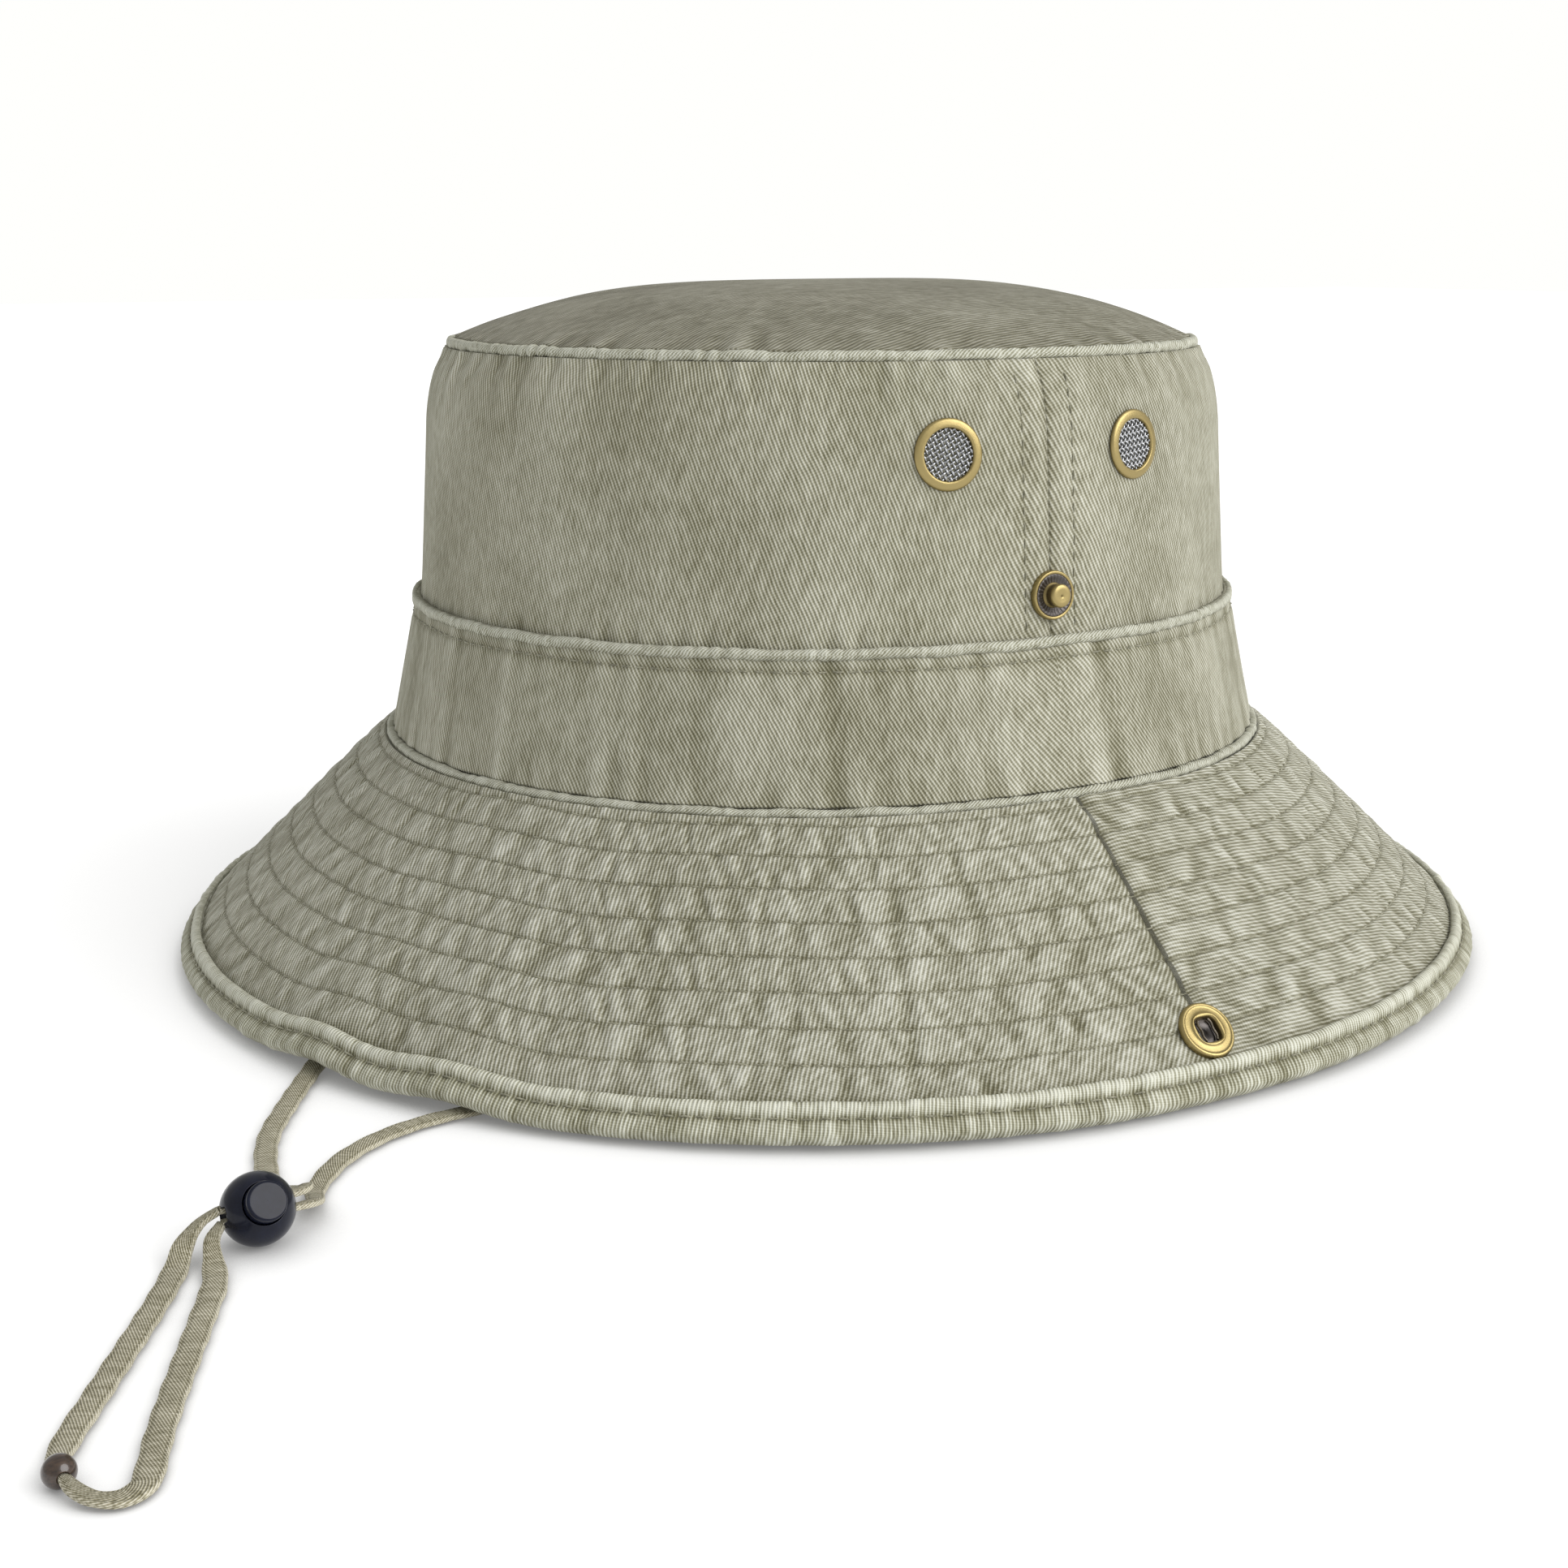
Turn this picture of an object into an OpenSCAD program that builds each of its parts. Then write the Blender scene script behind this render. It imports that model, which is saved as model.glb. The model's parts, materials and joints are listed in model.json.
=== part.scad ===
// Washed-cotton boonie hat with side snaps, vent eyelets and a chin cord.
// It stands on its brim edge. The origin is on the floor under the middle of the crown.
// The wearer faces -Y, the wearer's left side is +X, and +Z is up. Sizes are in millimetres.

/* [Crown] */
// Half width of the crown at its base, measured to the outside of the hat band
base_r = 95.4; // [94:0.2:100]
// Half of the extra length from front to back that makes the head opening oval
oval_e = 4.8; // [3:0.2:8]
// Height of the top seam above the floor
top_seam_z = 134; // [126:1:144]
// How far the top seam lies inside the base outline
top_seam_in = 16.4; // [15:0.2:20]
// Rise of the top panel above its seam
dome_rise = 13; // [8:0.5:18]
// Thickness of one layer of washed twill
cloth_t = 1; // [0.8:0.1:1.2]

/* [Band] */
// Height of the hat band's top edge above the floor
band_top_z = 79; // [72:0.5:86]
// How far the band's top edge lies inside its bottom edge
band_in = 6.6; // [6:0.2:10]
// Thickness of the folded hat band
band_t = 1.2; // [1:0.1:1.4]
// Thickness of the sweatband
sweat_t = 1.2; // [1:0.1:1.4]

/* [Brim] */
// Slant length of the brim, from the base seam to its edge
brim_slant = 69; // [66:0.1:76]
// Fall of the brim below the horizontal, in degrees
brim_fall = 44.3; // [40:0.1:48]
// Thickness of the brim's two covers and its interlining
brim_t = 2.6; // [2.2:0.1:3]
// Slant width of the edge binding
bind_w = 6.6; // [5:0.2:9]
// Thickness of the edge binding
bind_t = 0.8; // [0.6:0.1:1]
// Slant distance from the base seam to the line where the side of the brim folds up
fold_s = 9.6; // [9:0.1:12]
// Half width of the side flap that folds up
flap_half = 62; // [55:1:68]
// Gap left along the fold line
fold_gap = 0.4; // [0.3:0.1:0.8]

/* [Snaps] */
// Height of the stud on the crown
stud_z = 87.7; // [87:0.1:91]
// Slant distance from the base seam to the socket
socket_s = 56.2; // [55:0.1:56.4]
// Radius of the stud's dished base
stud_base_r = 4.8; // [4:0.1:5.5]
// Radius of the stud's post
stud_post_r = 2.35; // [2:0.05:2.5]
// Radius of the socket
socket_r = 5.8; // [5:0.1:6.5]

/* [Vents] */
// Height of the vent eyelets
vent_z = 116; // [108:1:120]
// Angle of each vent from the side seam, about the end arc's centre
vent_angle = 12; // [10:0.5:16]
// Outer radius of a vent's ring
vent_r = 7; // [6:0.1:7.5]
// Radius of the mesh inside a vent's ring
mesh_r = 5.1; // [4:0.05:5.2]

/* [Chin cord] */
// Width of the flat cord
cord_w = 4; // [3.6:0.1:4.2]
// Thickness of the flat cord
cord_t = 1.2; // [1:0.1:1.3]
// Radius of the ball-shaped cord lock
lock_r = 6; // [5.8:0.1:6.4]
// Radius of the cord lock's button
button_r = 3.4; // [3.2:0.1:3.5]
// Travel of the button
button_travel = 1.6; // [1:0.1:1.7]
// Radius of the bead
bead_r = 2.3; // [2.2:0.1:2.6]

/* [Hidden] */
$fn = 64;
WALL_SHARP = 0.01; // overlap that makes cutting shapes pass right through
brim_z = brim_slant * sin(brim_fall) + (brim_t / 2 + bind_t) * cos(brim_fall);
half_t = brim_t / 2;
fold_top = brim_point(fold_s, half_t);
seam_low_z = brim_z - 1.5;
welt_top_z = brim_z + 1.3;
cover_t = 0.8;
shank_r = 1.5;
shank_hole_r = 1.6;
stud_base_h = 1.2;
stud_post_h = 3.6;
socket_h = 1.8;
socket_hole_r = 2.8;
disc_h = 0.8;
disc_gap = 0.35; // flat discs stay this far off the curved inside of the wall
vent_hole_r = 5.75;
lock_pos = [109, -171, lock_r];
lock_turn = 58; // the button's lean from vertical towards +X
lock_slot = [4.4, 2.4];
strand_r = 1.1;
bead_pos = [165, -214, bead_r];
bead_turn = 3; // heading of the bead's bore, from +X
dome_steps = 9;
dome_power = 3.4;

// Route points of the chin cord: x, y, z and width. Each strand hangs from its tab to the
// floor, runs forward under the brim and into the cord lock.
LEFT_ROUTE = [
    [90.8, -1, 46.6, 4], [90, -3, 37, 4], [89.4, -6, 27, 4], [88.8, -10, 17, 4], [88, -15, 9, 4],
    [87, -22, 3, 4], [86, -31, 0.9, 4], [84, -45, 0.9, 4], [82, -60, 0.9, 4], [80, -76, 0.9, 4],
    [78, -92, 0.9, 4], [77, -108, 0.9, 4], [77, -120, 0.9, 4], [77.5, -131, 0.9, 4],
    [80.5, -141, 0.9, 4], [86.5, -150, 0.9, 4], [95, -157, 0.9, 3.6], [102, -159.5, 2, 3],
    [107, -161, 4, 2.2], [109.6, -165, 5.1, 1.6], [109.6, -171, 5.1, 1.6], [109.6, -177, 5.1, 1.6]];
RIGHT_ROUTE = [
    [-90.8, -1, 46.6, 4], [-90, -3, 37, 4], [-89.4, -6, 27, 4], [-88.2, -10, 17, 4], [-86, -15, 9, 4],
    [-82, -22, 3, 4], [-76, -31, 0.9, 4], [-66, -45, 0.9, 4], [-53, -60, 0.9, 4],
    [-38, -76, 0.9, 4], [-22, -91, 0.9, 4], [-5, -106, 0.9, 4], [12, -119, 0.9, 4],
    [28, -131, 0.9, 4], [43, -141, 0.9, 4], [57, -150, 0.9, 4], [70, -157.5, 0.9, 4],
    [83, -162, 0.9, 4], [93, -163.4, 1.6, 3.6], [100, -162.6, 3.7, 3], [105.2, -161.8, 6.2, 2.2],
    [108.1, -164.2, 6.9, 1.6], [108.4, -171, 6.9, 1.6], [108.4, -177, 6.9, 1.6]];
LOOP_ROUTE = [
    [108.4, -177, 6.9, 1.6], [108.2, -180, 5.4, 2.4], [109.4, -183, 3, 3.4], [113, -185.4, 0.9, 4],
    [120, -189.2, 0.9, 4], [128, -194, 0.9, 4], [137, -199.6, 0.9, 4], [146, -205.2, 0.9, 4],
    [154, -210.2, 0.9, 4], [159.4, -213, 1.1, 3.4], [162.4, -213.9, 1.9, 2.4], [163.8, -214, 2.3, 1.6],
    [165, -214, 2.3, 1.6], [166.4, -213.9, 2.3, 1.6], [169.4, -213.2, 1.9, 2.2],
    [172, -211.4, 1.3, 2.8], [173.2, -208.4, 0.9, 3.4], [172, -205.4, 0.9, 4], [168.8, -203.6, 0.9, 4],
    [160, -200, 0.9, 4], [150, -195.4, 0.9, 4], [140, -190.6, 0.9, 4], [130, -185.8, 0.9, 4],
    [121, -181.6, 0.9, 4], [115.5, -180.2, 1.6, 3.4], [111.6, -179.2, 3.6, 2.4],
    [109.6, -177, 5.1, 1.6]];
// Places where a strand passes under the brim edge: x, y and heading from +X
EDGE_CROSSINGS = [[77.4, -128.5, -82], [46.2, -143, -33]];

// ---- Geometry of the brim and the wall, as [offset from the base outline, height] ----
function brim_point(s, t) =
    [s * cos(brim_fall) + t * sin(brim_fall), brim_z - s * sin(brim_fall) + t * cos(brim_fall)];
wall_slope = band_in / (band_top_z - brim_z);
function low_wall(z) = -band_t - wall_slope * (z - brim_z);
band_edge = low_wall(band_top_z);
shoulder_z = top_seam_z - 14;
shoulder_off = 5.8 - top_seam_in;
function high_wall(z) =
    band_edge + (shoulder_off - band_edge) * (z - band_top_z) / (shoulder_z - band_top_z);
side_top_z = top_seam_z - 0.8;
WALL_LINE = [[low_wall(seam_low_z), seam_low_z], [band_edge, band_top_z],
    [shoulder_off, shoulder_z], [shoulder_off - 1.2, shoulder_z + 6],
    [shoulder_off - 2.9, shoulder_z + 10.5], [0.6 - top_seam_in, side_top_z]];
function shifted(line, d) = [for (p = line) [p.x - d, p.y]];
function band_of(line, d0, d1) = concat(shifted(line, d0), reversed(shifted(line, d1)));
function reversed(v) = [for (i = [len(v) - 1:-1:0]) v[i]];
dome_r = base_r - top_seam_in - 1.4;
function dome_z(r) = top_seam_z + 0.4 + (dome_rise - 1) * (1 - pow(r / dome_r, dome_power));
function dome_line(lift) =
    [for (i = [0:dome_steps]) let (r = dome_r * i / dome_steps) [r - base_r, dome_z(r) + lift]];

// ---- Sweeps round the oval: two half circles joined by short straight sides ----
module rear_half(points) {
    outline = [for (p = points) [base_r + p.x, p.y]];
    translate([0, oval_e, 0]) rotate_extrude(angle = 180) polygon(outline);
    for (side = [0, 1]) mirror([side, 0, 0])
        translate([0, oval_e, 0]) rotate([90, 0, 0]) linear_extrude(oval_e) polygon(outline);
}
module front_half(points) { rotate([0, 0, 180]) rear_half(points); }
module whole_oval(points) {
    rear_half(points);
    front_half(points);
}
// Puts +Z of its children along the wall's outward normal
module on_wall(angle, end, z) {
    r = base_r + high_wall(z);
    lean = atan((band_edge - shoulder_off) / (shoulder_z - band_top_z));
    translate([r * cos(angle), end * oval_e + r * sin(angle), z])
        rotate([0, 90 - lean, angle]) children();
}
// Puts +Z of its children along the brim's upper normal, side 0 is +X and side 1 is -X
module on_brim(side, s, t) {
    p = brim_point(s, t);
    mirror([side, 0, 0]) translate([base_r + p.x, 0, p.y]) rotate([0, brim_fall, 0]) children();
}
module each_vent() {
    for (side = [0, 180], end = [-1, 1])
        rotate([0, 0, side]) on_wall(end * vent_angle, end, vent_z) children();
}
module each_stud() {
    for (side = [0, 180]) rotate([0, 0, side]) on_wall(0, 0, stud_z) children();
}

// ---- Cutting shapes for the fold lines ----
module flap_space(side, grow) {
    x0 = base_r + fold_top.x - grow;
    mirror([side, 0, 0]) translate([x0, -flap_half - grow, -1])
        cube([brim_slant, 2 * (flap_half + grow), brim_z + 4]);
}
module keep_root() {
    difference() {
        children();
        for (side = [0, 1]) flap_space(side, fold_gap);
    }
}
module keep_flap(side) {
    intersection() {
        children();
        flap_space(side, 0);
    }
}
module socket_hole(side) {
    on_brim(side, socket_s, 0) translate([0, 0, -5]) cylinder(r = shank_hole_r, h = 10);
}

// ---- Crown ----
module crown_top_panel() {
    color("#8f8d78") whole_oval(concat(dome_line(cloth_t), reversed(dome_line(0))));
}
module crown_top_welt() {
    r = -top_seam_in;
    color("#a8a892") whole_oval([[r - 1.4, side_top_z], [r + 0.3, side_top_z],
        [r + 0.5, side_top_z + 1.1], [r, side_top_z + 2.2], [r - 1.4, side_top_z + 2.2]]);
}
module wall_holes() {
    each_vent() translate([0, 0, -4]) cylinder(r = vent_hole_r, h = 8);
    each_stud() translate([0, 0, -4]) cylinder(r = shank_hole_r, h = 8);
}
module crown_side_front() {
    color("#8d8b75") difference() {
        front_half(band_of(WALL_LINE, 0, cloth_t));
        wall_holes();
    }
}
module crown_side_rear() {
    color("#8d8b75") difference() {
        rear_half(band_of(WALL_LINE, 0, cloth_t));
        wall_holes();
    }
}
module crown_seam_tape() {
    upper = [for (i = [3:5]) WALL_LINE[i]];
    color("#6f6d5b") whole_oval(band_of(upper, cloth_t, cloth_t + 0.6));
}
module side_seam_tapes() {
    z0 = stud_z + 8;
    z1 = shoulder_z + 4;
    line = [[high_wall(z0), z0], [shoulder_off, shoulder_z], [shoulder_off - 0.8, z1]];
    color("#6f6d5b") intersection() {
        whole_oval(band_of(line, cloth_t, cloth_t + 0.6));
        translate([-base_r, -6, 0]) cube([2 * base_r, 12, top_seam_z]);
    }
}
module hat_band() {
    color("#8d8b75") whole_oval([[low_wall(welt_top_z), welt_top_z],
        [low_wall(welt_top_z) + band_t, welt_top_z], [band_edge + band_t, band_top_z],
        [band_edge + band_t - 0.5, band_top_z + 0.8], [high_wall(band_top_z + 0.8), band_top_z + 0.8],
        [band_edge, band_top_z]]);
}
module base_welt() {
    color("#a8a892") whole_oval([[low_wall(seam_low_z), seam_low_z], brim_point(1.5, -half_t),
        brim_point(1.5, half_t), [1, welt_top_z], [low_wall(welt_top_z), welt_top_z]]);
}
module sweatband() {
    z1 = band_top_z - 1;
    line = [[low_wall(seam_low_z), seam_low_z], [low_wall(z1), z1]];
    color("#7c7a66") whole_oval(band_of(line, cloth_t, cloth_t + sweat_t));
}

// ---- Brim ----
function brim_layer(t0, t1) = [brim_point(1.5, t0), brim_point(brim_slant - bind_t, t0),
    brim_point(brim_slant - bind_t, t1), brim_point(1.5, t1)];
UPPER = brim_layer(half_t - cover_t, half_t);
MIDDLE = brim_layer(cover_t - half_t, half_t - cover_t);
UNDER = brim_layer(-half_t, cover_t - half_t);
BINDING = [brim_point(brim_slant - bind_w, half_t), brim_point(brim_slant - bind_t, half_t),
    brim_point(brim_slant - bind_t, -half_t), brim_point(brim_slant - bind_w, -half_t),
    brim_point(brim_slant - bind_w, -half_t - bind_t), brim_point(brim_slant, -half_t - bind_t),
    brim_point(brim_slant, half_t + bind_t), brim_point(brim_slant - bind_w, half_t + bind_t)];
module brim_upper_front() { color("#908f78") keep_root() front_half(UPPER); }
module brim_upper_rear() { color("#8b8a74") keep_root() rear_half(UPPER); }
module brim_interlining() { color("#d8d4c4") keep_root() whole_oval(MIDDLE); }
module brim_under_front() { color("#7d7c67") keep_root() front_half(UNDER); }
module brim_under_rear() { color("#7d7c67") keep_root() rear_half(UNDER); }
// The edge rests on the floor, so it is relieved where the cord passes under it
module brim_binding() {
    color("#9a9984") difference() {
        keep_root() whole_oval(BINDING);
        for (c = EDGE_CROSSINGS) translate([c.x, c.y, -1]) rotate([0, 0, c.z])
            translate([-14, -cord_w / 2 - 1.5, 0]) cube([28, cord_w + 3, 2.9]);
    }
}
module flap_layer(side, layer) {
    difference() {
        keep_flap(side) whole_oval(layer);
        socket_hole(side);
    }
}
module left_flap_upper() { color("#908f78") flap_layer(0, UPPER); }
module left_flap_interlining() { color("#d8d4c4") flap_layer(0, MIDDLE); }
module left_flap_under() { color("#7d7c67") flap_layer(0, UNDER); }
module left_flap_binding() { color("#9a9984") keep_flap(0) whole_oval(BINDING); }
module right_flap_upper() { color("#908f78") flap_layer(1, UPPER); }
module right_flap_interlining() { color("#d8d4c4") flap_layer(1, MIDDLE); }
module right_flap_under() { color("#7d7c67") flap_layer(1, UNDER); }
module right_flap_binding() { color("#9a9984") keep_flap(1) whole_oval(BINDING); }

// ---- Vents ----
module vent_rings() {
    barrel_r = mesh_r + 0.5;
    color("#8a7440") each_vent() difference() {
        union() {
            cylinder(r = vent_r, h = disc_h);
            translate([0, 0, -cloth_t - disc_gap]) cylinder(r = barrel_r, h = disc_h + cloth_t);
        }
        translate([0, 0, -5]) cylinder(r = mesh_r, h = 10);
    }
}
module vent_meshes() {
    color("#b9bcc0") each_vent() translate([0, 0, -0.2]) cylinder(r = mesh_r, h = 0.5);
}
module vent_washers() {
    color("#8a7440") each_vent() translate([0, 0, -cloth_t - disc_gap - disc_h]) difference() {
        cylinder(r = vent_r, h = disc_h);
        translate([0, 0, -1]) cylinder(r = mesh_r, h = 4);
    }
}

// ---- Snaps ----
module snap_studs() {
    color("#6b5c3a") each_stud() {
        cylinder(r = stud_base_r, h = stud_base_h);
        translate([0, 0, -cloth_t - disc_gap]) cylinder(r = shank_r, h = 2);
        cylinder(r = stud_post_r, h = stud_post_h);
    }
}
module stud_backs() {
    color("#8a7440") each_stud() translate([0, 0, -cloth_t - disc_gap - disc_h])
        cylinder(r = stud_base_r, h = disc_h);
}
module snap_socket(side) {
    color("#8a7440") on_brim(side, socket_s, half_t) {
        difference() {
            cylinder(r = socket_r, h = socket_h);
            translate([0, 0, 0.4]) cylinder(r = socket_hole_r, h = socket_h);
        }
        translate([0, 0, -brim_t]) cylinder(r = shank_r, h = brim_t + 0.2);
    }
}
module socket_spring(side) {
    color("#3a3428") on_brim(side, socket_s, half_t + 0.7)
        for (x = [-2, 1.5]) translate([x, -1.6, 0]) cube([0.5, 3.2, 0.5]);
}
module socket_cap(side) {
    color("#8a7440") on_brim(side, socket_s, -half_t - 0.9) cylinder(r = socket_r, h = 0.9);
}
module left_snap_socket() { snap_socket(0); }
module left_socket_spring() { socket_spring(0); }
module left_socket_cap() { socket_cap(0); }
module right_snap_socket() { snap_socket(1); }
module right_socket_spring() { socket_spring(1); }
module right_socket_cap() { socket_cap(1); }

// ---- Chin cord ----
// Tabs sewn to the foot of the sweatband, where the cord starts
module cord_anchor_tabs() {
    z1 = seam_low_z + 8;
    z0 = seam_low_z - 1.7;
    face = -cloth_t - sweat_t;
    outline = [[base_r + low_wall(seam_low_z) + face - 1.6, z0], [base_r + low_wall(seam_low_z) + face, z0],
        [base_r + low_wall(seam_low_z) + face, seam_low_z], [base_r + low_wall(z1) + face, z1],
        [base_r + low_wall(z1) + face - 1.2, z1]];
    color("#8d8b75") for (side = [0, 1]) mirror([side, 0, 0])
        translate([0, 3, 0]) rotate([90, 0, 0]) linear_extrude(8) polygon(outline);
}
function unit(v) = v / norm(v);
function place(p) = [p[0], p[1], p[2]];
function heading(route, i) =
    unit(place(route[min(i + 1, len(route) - 1)]) - place(route[max(i - 1, 0)]));
// The flat side faces the wall where the strand hangs, and turns down onto the floor
function flat_normal(route, i, hang) = let (k = max(0, 1 - i / max(hang, 1)) * min(hang, 1))
    unit([k * sign(route[0][0]), 0, 1 - k]);
function ring(route, i, hang) = let (
    p = route[i],
    t = heading(route, i),
    across = unit(cross(t, flat_normal(route, i, hang))),
    over = cross(across, t))
    [for (k = [0:7]) let (a = 22.5 + 45 * k)
        place(p) + across * (p[3] / 2 * cos(a) / cos(22.5)) + over * (cord_t / 2 * sin(a) / sin(67.5))];
module strand(route, hang) {
    n = len(route);
    points = [for (i = [0:n - 1]) each ring(route, i, hang)];
    walls = [for (i = [0:n - 2], k = [0:7]) let (a = i * 8 + k, b = i * 8 + (k + 1) % 8)
        each [[a, b, b + 8], [a, b + 8, a + 8]]];
    start = [for (k = [1:6]) [0, k + 1, k]];
    last = (n - 1) * 8;
    finish = [for (k = [1:6]) [last, last + k, last + k + 1]];
    polyhedron(points, concat(walls, start, finish));
}
module chin_cord_left() { color("#8f8a72") strand(LEFT_ROUTE, 6); }
module chin_cord_right() { color("#8f8a72") strand(RIGHT_ROUTE, 6); }
module chin_cord_loop() { color("#8f8a72") strand(LOOP_ROUTE, 0); }

// ---- Cord lock and bead ----
bore_low = -4.4;
button_low = -2.2;
module in_lock() { translate(lock_pos) rotate([0, lock_turn, 0]) children(); }
module strand_channel(size_u, size_b, rise) {
    translate([-size_u / 2, -lock_r - 1, rise - size_b / 2]) cube([size_u, 2 * lock_r + 2, size_b]);
}
module cord_lock_body() {
    color("#1d2028") in_lock() difference() {
        sphere(r = lock_r);
        translate([0, 0, bore_low]) cylinder(r = button_r + 0.1, h = 2 * lock_r);
        strand_channel(lock_slot.x, lock_slot.y, 0);
    }
}
module cord_lock_button() {
    slot_b = 2 * strand_r + button_travel + 0.4;
    color("#23262f") in_lock() difference() {
        translate([0, 0, button_low]) cylinder(r = button_r, h = lock_r + 0.9 - button_low);
        strand_channel(lock_slot.x, slot_b, slot_b / 2 - strand_r - 0.1);
    }
}
module cord_lock_spring() {
    color("#b9bcc0") in_lock() translate([0, 0, bore_low]) difference() {
        cylinder(r = 2.6, h = button_low - bore_low);
        translate([0, 0, -1]) cylinder(r = 2, h = 6);
    }
}
module cord_bead() {
    color("#3b2a22") translate(bead_pos) rotate([0, 0, bead_turn + 90]) difference() {
        sphere(r = bead_r);
        rotate([90, 0, 0]) translate([0, 0, -5]) cylinder(r = 1, h = 10);
    }
}

crown_top_panel();
crown_top_welt();
crown_side_front();
crown_side_rear();
crown_seam_tape();
side_seam_tapes();
hat_band();
base_welt();
sweatband();
brim_upper_front();
brim_upper_rear();
brim_interlining();
brim_under_front();
brim_under_rear();
brim_binding();
left_flap_upper();
left_flap_interlining();
left_flap_under();
left_flap_binding();
right_flap_upper();
right_flap_interlining();
right_flap_under();
right_flap_binding();
vent_rings();
vent_meshes();
vent_washers();
snap_studs();
stud_backs();
left_snap_socket();
left_socket_spring();
left_socket_cap();
right_snap_socket();
right_socket_spring();
right_socket_cap();
cord_anchor_tabs();
chin_cord_left();
chin_cord_right();
chin_cord_loop();
cord_lock_body();
cord_lock_button();
cord_lock_spring();
cord_bead();
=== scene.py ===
"""Washed-cotton boonie hat: camera, cloth, stitching, snaps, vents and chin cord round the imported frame.
Everything is in metres in the frame's own axes: +Z up, -Y the wearer's front, +X the wearer's left."""

import json
import math

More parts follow.
